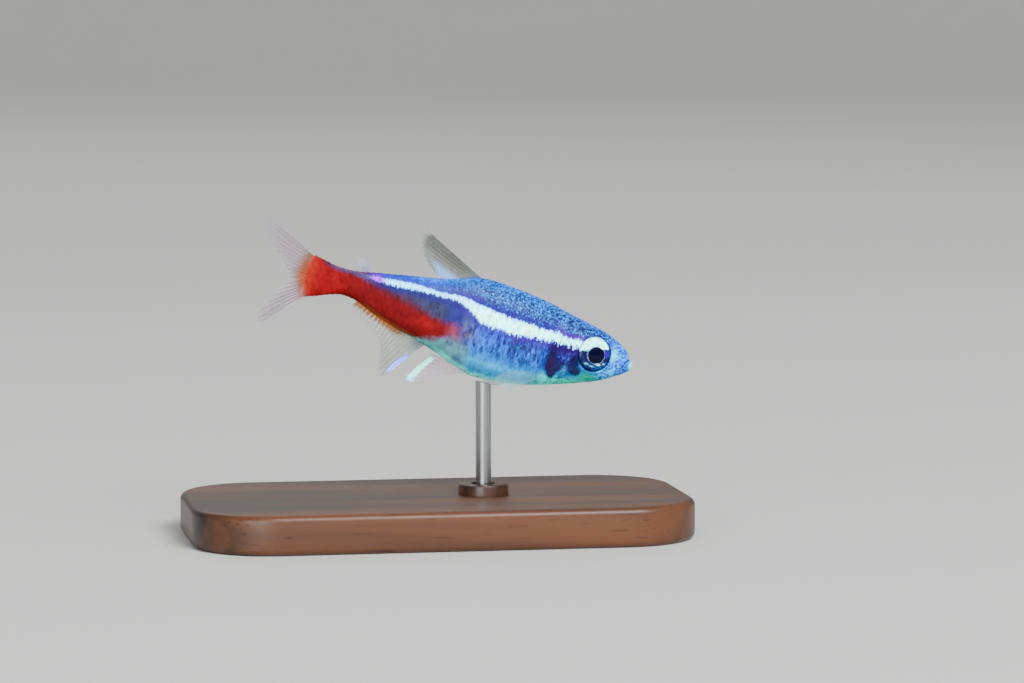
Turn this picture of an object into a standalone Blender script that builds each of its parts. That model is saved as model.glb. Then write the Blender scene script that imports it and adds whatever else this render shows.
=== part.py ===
"""A life-size neon tetra on a small display stand, swimming nose down with its tail swept to its right.

Every size below is in millimetres and is turned to metres as a mesh is made. The fish is first built
straight, in its own frame: x runs back along the midline from the snout, y to the fish's left, z up.
It is cut into its nodes there, and then each node is bent along the midline, pitched and set over the
stand. The row's origin is the middle of the stand's underside, +X is the way that the fish heads.
"""

import math

import bmesh
import bpy
import numpy as np
from mathutils import Matrix, Vector

MM = 0.001

# The whole fish
BODY_LENGTH = 26.5
TAIL_ROOT = 26.3
GAP = 0.3
NOSE_DOWN = math.radians(16.4)
BEND_START = 11.1
BEND_AT_TAIL_ROOT = math.radians(26)
BEND_POWER = 1.5

# The stand
BASE_LENGTH, BASE_WIDTH, BASE_HEIGHT = 38.0, 20.0, 3.0
BASE_CORNER, BASE_BEVEL = 6.0, 0.5
SNOUT_FORWARD = 15.0
SNOUT_HEIGHT = BASE_HEIGHT + 9.5
ROD_STATION = 10.7
ROD_RADIUS = 0.6
BOSS_RADIUS, BOSS_HEIGHT = 1.9, 0.8
SOCKET_DEPTH = 2.4

# Outlines of the body as (station, height) or (station, half width)
BACK = [(0, 0.03), (0.12, 0.34), (0.3, 0.5), (0.4, 0.83), (0.56, 1.01), (1.06, 1.33), (2.1, 1.82),
        (3.7, 2.25), (5.8, 2.66), (7.8, 3.04), (10.4, 3.34), (12.2, 3.42), (13.2, 3.32), (14.4, 2.92),
        (15.9, 2.52), (18.2, 2.12), (20.9, 1.66), (23.1, 1.33), (24.3, 1.36), (25.4, 1.55), (26.5, 1.76)]
BELLY = [(0, -0.03), (0.1, -0.46), (0.5, -0.84), (1.05, -1.16), (2.1, -1.78), (3.6, -2.38), (5.7, -3.08),
         (7.8, -3.62), (9.8, -3.92), (11.7, -4.02), (12.9, -3.74), (14.7, -3.08), (16.6, -2.48),
         (18.7, -1.96), (20.8, -1.28), (22.0, -0.84), (23.1, -0.68), (24.2, -0.88), (25.3, -1.24),
         (26.5, -1.56)]
HALF_WIDTH = [(0, 0.04), (0.1, 0.42), (0.4, 0.66), (1.0, 0.9), (2.0, 1.12), (3.3, 1.34), (4.6, 1.52),
              (6.2, 1.68), (8.5, 1.78), (11.0, 1.74), (13.0, 1.6), (15.5, 1.3), (18.0, 1.0), (20.5, 0.76),
              (23.0, 0.55), (25.0, 0.42), (26.5, 0.33)]
WIDEST_HEIGHT = [(0, 0.0), (3.0, 0.05), (7.0, -0.2), (12.0, -0.35), (16.0, -0.1), (20.0, 0.15), (23.0, 0.32),
                 (26.5, 0.1)]
SECTION_ROUNDNESS = 2.15
RINGS, AROUND = 62, 48
CUTTER_RINGS, CUTTER_AROUND = 48, 36
FIRST_RING, RING_SPREAD = 0.06, 1.7

# Lines on the flank as (station, height)
GILL_EDGE = [(5.8, 4.2), (5.95, 2.6), (6.2, 1.4), (6.65, 0.55), (7.05, -0.2), (7.13, -0.85), (6.9, -1.55),
             (6.55, -2.15), (6.1, -2.55), (5.5, -2.95), (4.9, -3.5), (4.6, -4.6)]
GILL_COVER_LIFT, GILL_COVER_LENGTH, GILL_COVER_TOP = 0.15, 1.5, 1.6
PREOPERCLE_STATION, PREOPERCLE_BOW, PREOPERCLE_GROOVE = 5.1, 0.12, 0.07
MOUTH_LINE = [(-0.4, 0.62), (0.34, 0.5), (0.62, 0.18), (0.86, -0.26), (1.05, -0.66)]
MOUTH_SLIT, LIP_SWELL = 0.12, 0.07
# Each nostril as (station, height, radius)
NOSTRILS = [(1.22, 0.84, 0.15), (1.56, 1.0, 0.12)]
VENT_CUT = [(16.35, 4.0), (15.35, -4.5)]

# The eyes
EYE_STATION, EYE_HEIGHT, EYE_OUT = 3.3, 0.18, 1.0
EYE_RADIUS, EYE_HALF_DEPTH = 1.36, 0.48
EYE_FORWARD, EYE_UP = math.radians(9), math.radians(6)
ORBIT_RIM = 0.07

# Every fin: the rays' thickness at root and tip, the membrane's share of it, and how far its margin is
# notched between the rays
RAY_THICK, TIP_THICK, MEMBRANE_SHARE = 0.66, 0.36, 0.76
ROOT_SUNK, NOTCH = 0.6, 0.03

# The fins of the midline: the stations of the root along back or belly, or its (share, station, height),
# and the margin as (share from the leading ray, station, height)
DORSAL_ROOT = (13.05, 15.9)
DORSAL_MARGIN = [(0, 18.3, 5.78), (0.14, 18.78, 5.5), (0.32, 18.72, 4.85), (0.5, 18.4, 4.25),
                 (0.68, 17.95, 3.7), (0.85, 17.35, 3.2), (1, 16.8, 2.86)]
ADIPOSE_ROOT = (21.5, 22.2)
ADIPOSE_MARGIN = [(0, 22.2, 2.36), (0.5, 22.7, 2.32), (1, 22.8, 1.95)]
ANAL_ROOT = (15.85, 21.9)
ANAL_MARGIN = [(0, 18.15, -5.6), (0.08, 18.65, -5.85), (0.2, 19.0, -5.0), (0.35, 19.15, -4.0),
               (0.5, 19.6, -3.2), (0.68, 20.5, -2.5), (0.85, 21.55, -1.8), (1, 22.4, -1.2)]
UPPER_LOBE_ROOT = [(0, 26.3, 1.6), (1, 26.3, 0.27)]
UPPER_LOBE_MARGIN = [(0, 31.2, 3.62), (0.12, 32.15, 3.5), (0.25, 31.9, 2.85), (0.45, 30.75, 1.85),
                     (0.65, 29.6, 1.0), (0.85, 28.7, 0.35), (1, 28.25, 0.02)]
LOWER_LOBE_ROOT = [(0, 26.3, -1.42), (1, 26.3, -0.03)]
LOWER_LOBE_MARGIN = [(0, 29.3, -4.12), (0.12, 30.1, -4.25), (0.25, 30.15, -3.6), (0.45, 29.65, -2.6),
                     (0.65, 29.05, -1.7), (0.85, 28.5, -0.85), (1, 28.2, -0.28)]

# The paired fins: the root's middle as (station, out from the midline, height), its width and slope, the
# fan as (share from the leading ray, reach, degrees below the body's axis), and how far it stands out
PELVIC_HINGE, PELVIC_ROOT_WIDTH, PELVIC_ROOT_SLOPE = (12.35, 0.55, -3.72), 0.7, math.radians(12)
PELVIC_FAN = [(0, 4.8, 23), (0.12, 5.15, 20), (0.4, 4.5, 13), (0.7, 3.75, 2.4), (1, 3.15, -10.5)]
PELVIC_SPLAY_RIGHT, PELVIC_SPLAY_LEFT = math.radians(13), math.radians(46)
PECTORAL_HINGE, PECTORAL_ROOT_WIDTH, PECTORAL_ROOT_SLOPE = (7.15, 1.2, -2.6), 0.6, math.radians(80)
PECTORAL_FAN = [(0, 2.8, 31), (0.2, 3.6, 24), (0.45, 3.95, 16), (0.75, 3.7, 9), (1, 3.0, 2)]
PECTORAL_SPLAY = math.radians(28)
FAN_CUP = 0.9
# How much lower the left fins are held than the right ones
PELVIC_DROOP, PECTORAL_DROOP = math.radians(3.6), math.radians(6)


def smooth_line(knots):
    """A monotone cubic through the knots, read as a function of the first coordinate."""
    at = np.array([k[0] for k in knots], float)
    value = np.array([k[1] for k in knots], float)
    step = np.diff(at)
    slope = np.diff(value) / step
    tangent = np.zeros(len(at))
    tangent[0], tangent[-1] = slope[0], slope[-1]
    for i in range(1, len(at) - 1):
        if slope[i - 1] * slope[i] > 0:
            before, after = 2 * step[i] + step[i - 1], step[i] + 2 * step[i - 1]
            tangent[i] = (before + after) / (before / slope[i - 1] + after / slope[i])

    def read(x):
        i = int(np.clip(np.searchsorted(at, x) - 1, 0, len(step) - 1))
        t = min(max((x - at[i]) / step[i], 0.0), 1.0)
        start, end = (1 + 2 * t) * (1 - t) ** 2, t * t * (3 - 2 * t)
        leave, arrive = t * (1 - t) ** 2, t * t * (t - 1)
        slopes = leave * tangent[i] + arrive * tangent[i + 1]
        return float(start * value[i] + end * value[i + 1] + step[i] * slopes)

    return read


def by_root(knots):
    """Read against the square root of the station, so that the snout comes out round."""
    line = smooth_line([(math.sqrt(x), y) for x, y in knots])
    return lambda x: line(math.sqrt(max(x, 0.0)))


back, belly = by_root(BACK), by_root(BELLY)
half_width, widest_height = by_root(HALF_WIDTH), by_root(WIDEST_HEIGHT)
gill_edge = smooth_line(sorted((z, x) for x, z in GILL_EDGE))
gill_line = [(gill_edge(z), z) for z in np.linspace(GILL_EDGE[0][1], GILL_EDGE[-1][1], 30)]
mouth_edge = smooth_line(MOUTH_LINE)
mouth_line = [(x, mouth_edge(x)) for x in np.linspace(MOUTH_LINE[0][0], MOUTH_LINE[-1][0], 12)]


def ease(t):
    t = min(max(t, 0.0), 1.0)
    return t * t * (3 - 2 * t)


def bump(distance, width):
    return math.exp(-((distance / width) ** 2))


def heading(station):
    """How far the midline has turned towards the fish's right by this station."""
    past = max(0.0, (station - BEND_START) / (BODY_LENGTH - BEND_START))
    return BEND_AT_TAIL_ROOT * past**BEND_POWER


MIDLINE_STEP = 0.05
midline = [(0.0, 0.0)]
for count in range(int(36 / MIDLINE_STEP)):
    turn = heading((count + 0.5) * MIDLINE_STEP)
    x, y = midline[-1]
    midline.append((x - math.cos(turn) * MIDLINE_STEP, y - math.sin(turn) * MIDLINE_STEP))


def midline_at(station):
    """The place on the bent midline; ahead of the snout it runs on straight."""
    if station <= 0:
        return -station, 0.0
    i = min(int(station / MIDLINE_STEP), len(midline) - 2)
    share = station / MIDLINE_STEP - i
    (ax, ay), (bx, by) = midline[i], midline[i + 1]
    return ax + (bx - ax) * share, ay + (by - ay) * share


def posed(point):
    """A point of the straight fish, in millimetres, where it is on the stand, in metres."""
    x, y = midline_at(point.x)
    turn = heading(point.x)
    bent = Vector((x - math.sin(turn) * point.y, y + math.cos(turn) * point.y, point.z))
    tipped = Matrix.Rotation(NOSE_DOWN, 3, "Y") @ bent
    return (tipped + Vector((SNOUT_FORWARD, 0, SNOUT_HEIGHT))) * MM


def head_relief(x, z):
    """How far the side of the head stands out for its gill cover, cheek, orbit and lips."""
    cover = GILL_COVER_LIFT * ease(1 + (x - gill_edge(z)) / GILL_COVER_LENGTH)
    cover *= ease((GILL_COVER_TOP - z) / 0.8)
    groove_station = PREOPERCLE_STATION - PREOPERCLE_BOW * (z + 1.2) ** 2
    groove = PREOPERCLE_GROOVE * bump(x - groove_station, 0.18) * ease((0.4 - z) / 0.5)
    rim = ORBIT_RIM * bump(math.hypot(x - EYE_STATION, z - EYE_HEIGHT) - EYE_RADIUS - GAP, 0.22)
    lips = LIP_SWELL * bump(min(math.hypot(x - a, z - b) for a, b in mouth_line), 0.24)
    return cover - groove + rim + lips


def body_point(x, angle, grow, relief):
    """A point on the section at station x. The angle is from the fish's left, over its back."""
    middle, wide = widest_height(x), half_width(x) + grow
    tall = back(x) + grow - middle if math.sin(angle) >= 0 else middle - belly(x) + grow
    side, rise = math.cos(angle), math.sin(angle)
    y = wide * math.copysign(abs(side) ** (2 / SECTION_ROUNDNESS), side)
    z = middle + tall * math.copysign(abs(rise) ** (2 / SECTION_ROUNDNESS), rise)
    if relief:
        y += math.copysign(relief(x, z) * abs(side), side)
    return Vector((x, y, z))


def outward(shape):
    """Makes the faces of a closed mesh agree and point outwards."""
    shape.normal_update()
    bmesh.ops.recalc_face_normals(shape, faces=shape.faces)
    if shape.calc_volume(signed=True) < 0:
        bmesh.ops.reverse_faces(shape, faces=shape.faces)


def new_object(name, mesh, collection):
    thing = bpy.data.objects.new(name, mesh)
    collection.objects.link(thing)
    return thing


def body_whole(name, grow=0.0, relief=None, rings=RINGS, around=AROUND):
    """The body from snout to tail root, a sphere whose rings become the body's sections."""
    shape = bmesh.new()
    bmesh.ops.create_uvsphere(shape, u_segments=around, v_segments=rings, radius=1)
    for vert in shape.verts:
        ring = round(math.acos(max(-1.0, min(1.0, vert.co.z))) / math.pi * rings)
        if ring in (0, rings):
            vert.co = Vector((TAIL_ROOT + grow if ring else -grow, 0, 0))
            continue
        along = ((ring - 1) / (rings - 2)) ** RING_SPREAD
        station = FIRST_RING + (TAIL_ROOT - FIRST_RING) * along
        vert.co = body_point(station, math.atan2(vert.co.y, vert.co.x), grow, relief)
        vert.co.x += grow * (2 * station / TAIL_ROOT - 1)
    outward(shape)
    bmesh.ops.triangulate(shape, faces=shape.faces)
    return shape_object(name, shape, cutters if grow else fish)


def grown_body(name):
    """The body with the gap added all round, which trims what meets the body."""
    return as_helper(body_whole(name, GAP, rings=CUTTER_RINGS, around=CUTTER_AROUND))


def shape_object(name, shape, collection):
    mesh = bpy.data.meshes.new(name)
    shape.to_mesh(mesh)
    shape.free()
    return new_object(name, mesh, collection)


def applied(thing):
    """The object's mesh as its modifiers leave it, kept as its own mesh."""
    bpy.context.view_layer.update()
    seen = thing.evaluated_get(bpy.context.evaluated_depsgraph_get())
    made = bpy.data.meshes.new_from_object(seen)
    made.transform(thing.matrix_world)
    thing.modifiers.clear()
    thing.matrix_world = Matrix.Identity(4)
    thing.data = made
    return thing


def combine(thing, other, operation, solver="EXACT"):
    """The object cut by, or joined to, another closed mesh, with the result applied."""
    cut = thing.modifiers.new(operation.lower(), "BOOLEAN")
    cut.operation, cut.solver, cut.object = operation, solver, other
    return applied(thing)


def as_helper(thing):
    """A cutter: kept out of the render and drawn as wire."""
    thing.hide_render = True
    thing.display_type = "WIRE"
    return thing


def slab(name, outline, half_thick=6.0):
    """A flat outline in the fish's side view, as thick as the whole fish."""
    curve = bpy.data.curves.new(name, "CURVE")
    curve.dimensions, curve.fill_mode, curve.extrude = "2D", "BOTH", half_thick
    spline = curve.splines.new("POLY")
    spline.points.add(len(outline) - 1)
    for point, (x, z) in zip(spline.points, outline):
        point.co = (x, z, 0, 1)
    spline.use_cyclic_u = True
    flat = new_object(name, curve, cutters)
    flat.matrix_world = Matrix.Rotation(math.pi / 2, 4, "X")
    bpy.context.view_layer.update()
    mesh = bpy.data.meshes.new_from_object(flat.evaluated_get(bpy.context.evaluated_depsgraph_get()))
    mesh.transform(flat.matrix_world)
    bpy.data.objects.remove(flat)
    shape = bmesh.new()
    shape.from_mesh(mesh)
    bmesh.ops.remove_doubles(shape, verts=shape.verts, dist=1e-5)
    outward(shape)
    shape.to_mesh(mesh)
    shape.free()
    return as_helper(new_object(name, mesh, cutters))


def shifted(line, offset):
    """A line in the side view moved sideways by the offset, towards the tail if it is positive."""
    moved = []
    for i, (x, z) in enumerate(line):
        before, after = line[max(i - 1, 0)], line[min(i + 1, len(line) - 1)]
        run, fall = after[0] - before[0], after[1] - before[1]
        length = math.hypot(run, fall)
        moved.append((x - fall / length * offset, z + run / length * offset))
    return moved


def largest_part(shape):
    """Drops every loose scrap but the largest closed surface."""
    left, parts = set(shape.faces), []
    while left:
        stack, part = [left.pop()], []
        while stack:
            face = stack.pop()
            part.append(face)
            for other in (other for edge in face.edges for other in edge.link_faces):
                if other in left:
                    left.remove(other)
                    stack.append(other)
        parts.append(part)
    kept = max(parts, key=lambda part: sum(face.calc_area() for face in part))
    loose = [face for part in parts if part is not kept for face in part]
    bmesh.ops.delete(shape, geom=loose, context="FACES")


def move_points(thing, move, tidy=False):
    """Moves each point of the mesh, and turns its faces outwards again where that mirrored it."""
    shape = bmesh.new()
    shape.from_mesh(thing.data)
    if tidy:
        largest_part(shape)
        bmesh.ops.triangulate(shape, faces=shape.faces)
    for vert in shape.verts:
        vert.co = move(vert.co)
    outward(shape)
    shape.to_mesh(thing.data)
    shape.free()


def finish_node(thing, move=posed):
    """One closed body of triangles, in its place on the stand."""
    move_points(thing, move, tidy=True)
    thing.data.shade_smooth()
    thing.data.set_sharp_from_angle(angle=math.radians(50))
    return thing


def paint(thing, name, colour, roughness, metallic=0.0):
    material = bpy.data.materials.get(name) or bpy.data.materials.new(name)
    material.use_nodes = True
    surface = material.node_tree.nodes["Principled BSDF"]
    surface.inputs["Base Color"].default_value = (*colour, 1)
    surface.inputs["Roughness"].default_value = roughness
    surface.inputs["Metallic"].default_value = metallic
    thing.data.materials.clear()
    thing.data.materials.append(material)
    return thing


def ellipsoid(name, centre, semi_axes, turn=Matrix.Identity(3), segments=24, rings=14, collection=None):
    shape = bmesh.new()
    bmesh.ops.create_uvsphere(shape, u_segments=segments, v_segments=rings, radius=1)
    for vert in shape.verts:
        stretched = Vector((a * b for a, b in zip(vert.co, semi_axes)))
        vert.co = turn @ stretched + Vector(centre)
    outward(shape)
    return shape_object(name, shape, collection or cutters)


def eye_ball(name, side, grow=0.0):
    """An eye, flattened as a fish's is, facing a little forwards and up."""
    turn = Matrix.Rotation(side * EYE_FORWARD, 3, "Z") @ Matrix.Rotation(side * EYE_UP, 3, "X")
    turn = turn @ Matrix.Rotation(math.pi / 2, 3, "X")
    centre = (EYE_STATION, side * EYE_OUT, EYE_HEIGHT)
    size = (EYE_RADIUS + grow, EYE_RADIUS + grow, EYE_HALF_DEPTH + grow)
    return ellipsoid(name, centre, size, turn, collection=None if grow else fish)


def cut_face(head):
    """Sockets for the eyes, nostrils and the line of the mouth."""
    for side in (1, -1):
        combine(head, as_helper(eye_ball("socket", side, GAP)), "DIFFERENCE")
        for station, height, radius in NOSTRILS:
            wall = half_width(station) * math.sqrt(max(0.0, 1 - (height / back(station)) ** 2))
            pit = ellipsoid("nostril", (station, side * wall, height), (radius,) * 3, segments=10, rings=6)
            combine(head, as_helper(pit), "DIFFERENCE")
    upper, lower = shifted(mouth_line, MOUTH_SLIT / 2), shifted(mouth_line, -MOUTH_SLIT / 2)
    combine(head, slab("mouth_slit", upper + lower[::-1]), "DIFFERENCE")


def make_body():
    """Head, trunk and tail: the body parted by thin cuts along the gill cover's edge and behind the vent."""
    zones = {
        "head": [(-3, 6)] + shifted(gill_line, -GAP / 2) + [(-3, -6)],
        "trunk": shifted(gill_line, GAP / 2) + shifted(VENT_CUT, -GAP / 2)[::-1],
        "tail": shifted(VENT_CUT, GAP / 2) + [(30, -5), (30, 5)],
    }
    parts = []
    for name, outline in zones.items():
        part = body_whole(name, relief=head_relief if name == "head" else None)
        if name == "head":
            cut_face(part)
        parts.append(combine(part, slab(name + "_zone", outline), "INTERSECT"))
    return parts


def fin(name, rays, rows, root, margin, lay):
    """A fin as a sheet of rays, given its thickness by Solidify.

    root and margin give a ray's two ends in the fin's own plane by its share from the leading ray, and
    lay puts a point of that plane, with its shares across and along, on the straight fish.
    """
    across = 2 * rays - 2
    sheet = bmesh.new()
    bmesh.ops.create_grid(sheet, x_segments=across, y_segments=rows, size=0.5)
    bmesh.ops.triangulate(sheet, faces=sheet.faces)
    weights = []
    least = TIP_THICK * MEMBRANE_SHARE / RAY_THICK
    for vert in sheet.verts:
        u, v = vert.co.x + 0.5, vert.co.y + 0.5
        on_ray = round(u * across) % 2 == 0
        start, end = Vector(root(u)), Vector(margin(u))
        start -= (end - start).normalized() * ROOT_SUNK
        vert.co = lay(start.lerp(end, v if on_ray else v * (1 - NOTCH)), u, v)
        taper = 1 + (TIP_THICK / RAY_THICK - 1) * v**2
        share = taper if on_ray else taper * MEMBRANE_SHARE
        weights.append((share - least) / (1 - least))
    thing = shape_object(name, sheet, fish)
    group = thing.vertex_groups.new(name="thickness")
    for index, weight in enumerate(weights):
        group.add([index], weight, "REPLACE")
    wall = thing.modifiers.new("wall", "SOLIDIFY")
    wall.thickness, wall.offset = RAY_THICK, 0
    wall.vertex_group, wall.thickness_vertex_group = group.name, least
    applied(thing)
    return combine(thing, grown, "DIFFERENCE", "MANIFOLD")


def along_line(knots):
    """A point on a smooth line through (share, x, z) knots."""
    x_line = smooth_line([(s, x) for s, x, z in knots])
    z_line = smooth_line([(s, z) for s, x, z in knots])
    return lambda u: (x_line(u), 0, z_line(u))


def median_lay(sway):
    """Keeps a fin in the fish's middle plane, swaying to its right towards the tip."""
    return lambda p, u, v: Vector((p.x, -sway * v * v, p.z))


def root_line(first, last, surface):
    """Ray roots along the back or the belly."""
    return lambda u: (first + (last - first) * u, 0, surface(first + (last - first) * u))


def make_median_fins():
    midline_fins = [
        ("dorsal_fin", 11, 9, root_line(*DORSAL_ROOT, back), DORSAL_MARGIN, 0.5),
        ("adipose_fin", 3, 4, root_line(*ADIPOSE_ROOT, back), ADIPOSE_MARGIN, 0),
        ("anal_fin", 18, 8, root_line(*ANAL_ROOT, belly), ANAL_MARGIN, 0.35),
        ("caudal_fin_upper", 10, 9, along_line(UPPER_LOBE_ROOT), UPPER_LOBE_MARGIN, 0),
        ("caudal_fin_lower", 9, 9, along_line(LOWER_LOBE_ROOT), LOWER_LOBE_MARGIN, 0),
    ]
    return [fin(name, rays, rows, root, along_line(margin), median_lay(sway))
            for name, rays, rows, root, margin, sway in midline_fins]


def paired_fin(name, side, rays, hinge, root_width, root_slope, fan, splay, droop):
    """A fan of rays from a short root, drawn flat, turned down by droop and out from the body by splay."""
    reach = smooth_line([(share, length) for share, length, fall in fan])
    below = smooth_line([(share, math.radians(fall)) for share, length, fall in fan])

    def root(u):
        from_middle = root_width * (u - 0.5)
        return (from_middle * math.cos(root_slope), 0, from_middle * math.sin(root_slope))

    def margin(u):
        return (reach(u) * math.cos(below(u)), 0, -reach(u) * math.sin(below(u)))

    def lay(p, u, v):
        cupped = Vector((p.x, FAN_CUP * (v * (u - 0.5)) ** 2, p.z))
        turned = Matrix.Rotation(splay, 3, "Z") @ Matrix.Rotation(droop, 3, "Y") @ cupped
        return Vector((hinge[0] + turned.x, side * (hinge[1] + turned.y), hinge[2] + turned.z))

    return fin(name, rays, 7, root, margin, lay)


def make_paired_fins():
    pelvic = (8, PELVIC_HINGE, PELVIC_ROOT_WIDTH, PELVIC_ROOT_SLOPE, PELVIC_FAN)
    pectoral = (10, PECTORAL_HINGE, PECTORAL_ROOT_WIDTH, PECTORAL_ROOT_SLOPE, PECTORAL_FAN, PECTORAL_SPLAY)
    return [
        paired_fin("pelvic_fin_left", 1, *pelvic, PELVIC_SPLAY_LEFT, PELVIC_DROOP),
        paired_fin("pelvic_fin_right", -1, *pelvic, PELVIC_SPLAY_RIGHT, 0),
        paired_fin("pectoral_fin_left", 1, *pectoral, PECTORAL_DROOP),
        paired_fin("pectoral_fin_right", -1, *pectoral, 0),
    ]


def rounded_plate(name, length, width, corner, height):
    """A plate with round corners, its underside on the floor and its rims bevelled."""
    shape = bmesh.new()
    bmesh.ops.create_cube(shape, size=1, matrix=Matrix.Diagonal((length, width, height, 1)))
    upright = [e for e in shape.edges if abs(e.verts[0].co.z - e.verts[1].co.z) > height / 2]
    bmesh.ops.bevel(shape, geom=upright, offset=corner, segments=8, profile=0.5, affect="EDGES")
    rim = [e for e in shape.edges if e.verts[0].co.z * e.verts[1].co.z > 0
           and abs(e.calc_face_angle(0) - math.pi / 2) < 0.1]
    bmesh.ops.bevel(shape, geom=rim, offset=BASE_BEVEL, segments=3, profile=0.5, affect="EDGES")
    bmesh.ops.translate(shape, verts=shape.verts, vec=(0, 0, height / 2))
    return shape_object(name, shape, fish)


def upright_cylinder(name, centre, radius, low, high, collection, segments=24):
    shape = bmesh.new()
    place = Matrix.Translation((centre[0], centre[1], (low + high) / 2))
    size = {"radius1": radius, "radius2": radius, "depth": high - low}
    bmesh.ops.create_cone(shape, cap_ends=True, segments=segments, matrix=place, **size)
    return shape_object(name, shape, collection)


def make_stand():
    """A plate with a boss, and the rod that stands in it and reaches up to the belly."""
    belly_point = posed(Vector((ROD_STATION, 0, belly(ROD_STATION)))) / MM
    foot = (belly_point.x, belly_point.y)
    base = rounded_plate("stand_base", BASE_LENGTH, BASE_WIDTH, BASE_CORNER, BASE_HEIGHT)
    boss_top = BASE_HEIGHT + BOSS_HEIGHT
    socket_floor = boss_top - SOCKET_DEPTH
    boss = upright_cylinder("boss", foot, BOSS_RADIUS, BASE_HEIGHT - 1, boss_top, cutters, 32)
    combine(base, as_helper(boss), "UNION")
    hole = upright_cylinder("rod_hole", foot, ROD_RADIUS + GAP, socket_floor, boss_top + 1, cutters)
    combine(base, as_helper(hole), "DIFFERENCE")
    into_belly = belly_point.z + 2 * GAP
    rod = upright_cylinder("stand_rod", foot, ROD_RADIUS, socket_floor + GAP, into_belly, fish)
    body = grown_body("grown_body_posed")
    move_points(body, lambda point: posed(point) / MM)
    combine(rod, body, "DIFFERENCE")
    return [finish_node(thing, lambda point: point * MM) for thing in (base, rod)]


for old in list(bpy.data.objects):
    bpy.data.objects.remove(old)
fish = bpy.data.collections.new("neon_tetra")
cutters = bpy.data.collections.new("cutters")
for group in (fish, cutters):
    bpy.context.scene.collection.children.link(group)

grown = grown_body("grown_body")
flesh = {"head": (0.23, 0.35, 0.5), "trunk": (0.16, 0.42, 0.62), "tail": (0.62, 0.05, 0.04)}
for part in make_body():
    paint(finish_node(part), part.name, flesh[part.name], 0.3)
for part in make_median_fins() + make_paired_fins():
    paint(finish_node(part), "fin_membrane", (0.62, 0.66, 0.72), 0.35)
for word, side in (("left", 1), ("right", -1)):
    paint(finish_node(eye_ball("eye_" + word, side)), "eye", (0.5, 0.8, 0.9), 0.1)
base, rod = make_stand()
paint(base, "stand_wood", (0.05, 0.022, 0.01), 0.35)
paint(rod, "stand_steel", (0.7, 0.7, 0.72), 0.25, 1.0)
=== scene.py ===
# %% [markdown]
# # A neon tetra on its display stand
#
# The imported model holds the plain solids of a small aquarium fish, a neon tetra, and of the stand that
# carries it. This notebook dresses them. One skin goes over head, trunk and tail, thin scales lie on
# it, and finer fins and eyes take the place of the plain ones. Each piece is first made on a straight
# fish, where every part is easy to find, and is then bent and tipped into the pose in one last step.

import math
import random

import bmesh
import bpy
import numpy as np
from mathutils import Matrix, Vector, noise


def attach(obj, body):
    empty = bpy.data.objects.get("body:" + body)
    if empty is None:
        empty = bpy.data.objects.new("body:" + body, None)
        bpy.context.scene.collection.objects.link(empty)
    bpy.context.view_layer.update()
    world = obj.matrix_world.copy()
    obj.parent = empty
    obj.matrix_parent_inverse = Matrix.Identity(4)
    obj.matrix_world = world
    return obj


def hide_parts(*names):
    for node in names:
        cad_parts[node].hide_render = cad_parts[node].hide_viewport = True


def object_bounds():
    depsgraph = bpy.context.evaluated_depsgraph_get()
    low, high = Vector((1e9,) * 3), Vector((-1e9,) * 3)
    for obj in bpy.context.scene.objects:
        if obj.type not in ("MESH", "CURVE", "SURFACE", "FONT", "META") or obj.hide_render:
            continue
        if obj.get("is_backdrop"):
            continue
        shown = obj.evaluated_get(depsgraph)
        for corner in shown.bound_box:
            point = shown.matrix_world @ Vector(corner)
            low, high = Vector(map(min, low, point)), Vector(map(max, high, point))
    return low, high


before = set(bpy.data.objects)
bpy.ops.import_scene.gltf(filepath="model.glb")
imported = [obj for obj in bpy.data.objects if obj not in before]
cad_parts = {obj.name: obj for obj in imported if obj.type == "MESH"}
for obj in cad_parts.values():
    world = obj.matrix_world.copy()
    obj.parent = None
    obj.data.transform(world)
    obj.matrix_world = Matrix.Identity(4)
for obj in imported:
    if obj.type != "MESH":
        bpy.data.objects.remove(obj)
cad_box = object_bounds()
MM = 0.001
print("nodes:", ", ".join(sorted(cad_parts)))

# %% [markdown]
# ## The camera
#
# The fish is seen nearly level and a little from its head's side. A long lens far away keeps its true
# proportions, as a photographer would choose for a small animal. The camera is placed by one point: the
# snout has to land on a chosen pixel of the picture.

# %% A camera that puts the snout on its pixel
YAW, PITCH = math.radians(-10), math.radians(5.5)
PICTURE_WIDTH, PICTURE_HEIGHT = 1024, 683
PIXELS_PER_MM, DISTANCE, FILM_WIDTH = 13.1477, 320, 36
SNOUT, SNOUT_PIXEL = Vector((15, 0, 12.5)), (631, 366)

behind = Vector((math.sin(YAW) * math.cos(PITCH), -math.cos(YAW) * math.cos(PITCH), math.sin(PITCH)))
across = Vector((math.cos(YAW), math.sin(YAW), 0))
upward = behind.cross(across)
aim = SNOUT + across * (PICTURE_WIDTH / 2 - SNOUT_PIXEL[0]) / PIXELS_PER_MM
aim += upward * (SNOUT_PIXEL[1] - PICTURE_HEIGHT / 2) / PIXELS_PER_MM

lens = bpy.data.cameras.new("camera")
lens.sensor_width, lens.sensor_fit = FILM_WIDTH, "HORIZONTAL"
lens.lens = FILM_WIDTH * PIXELS_PER_MM * DISTANCE / PICTURE_WIDTH
lens.clip_start = 0.01
camera = bpy.data.objects.new("camera", lens)
bpy.context.scene.collection.objects.link(camera)
facing = Matrix((across, upward, behind)).transposed().to_4x4()
camera.matrix_world = Matrix.Translation((aim + behind * DISTANCE) * MM) @ facing
bpy.context.scene.camera = camera
print("lens", round(lens.lens, 1), "mm")

# %% [markdown]
# ## Colours and nodes
#
# Colours are written as the hex codes that a colour picker shows. Blender's shaders count in linear
# light, so one function turns a code into linear values. Another one adds a node, sets its inputs and
# links it. That is all that the materials below need.

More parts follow.
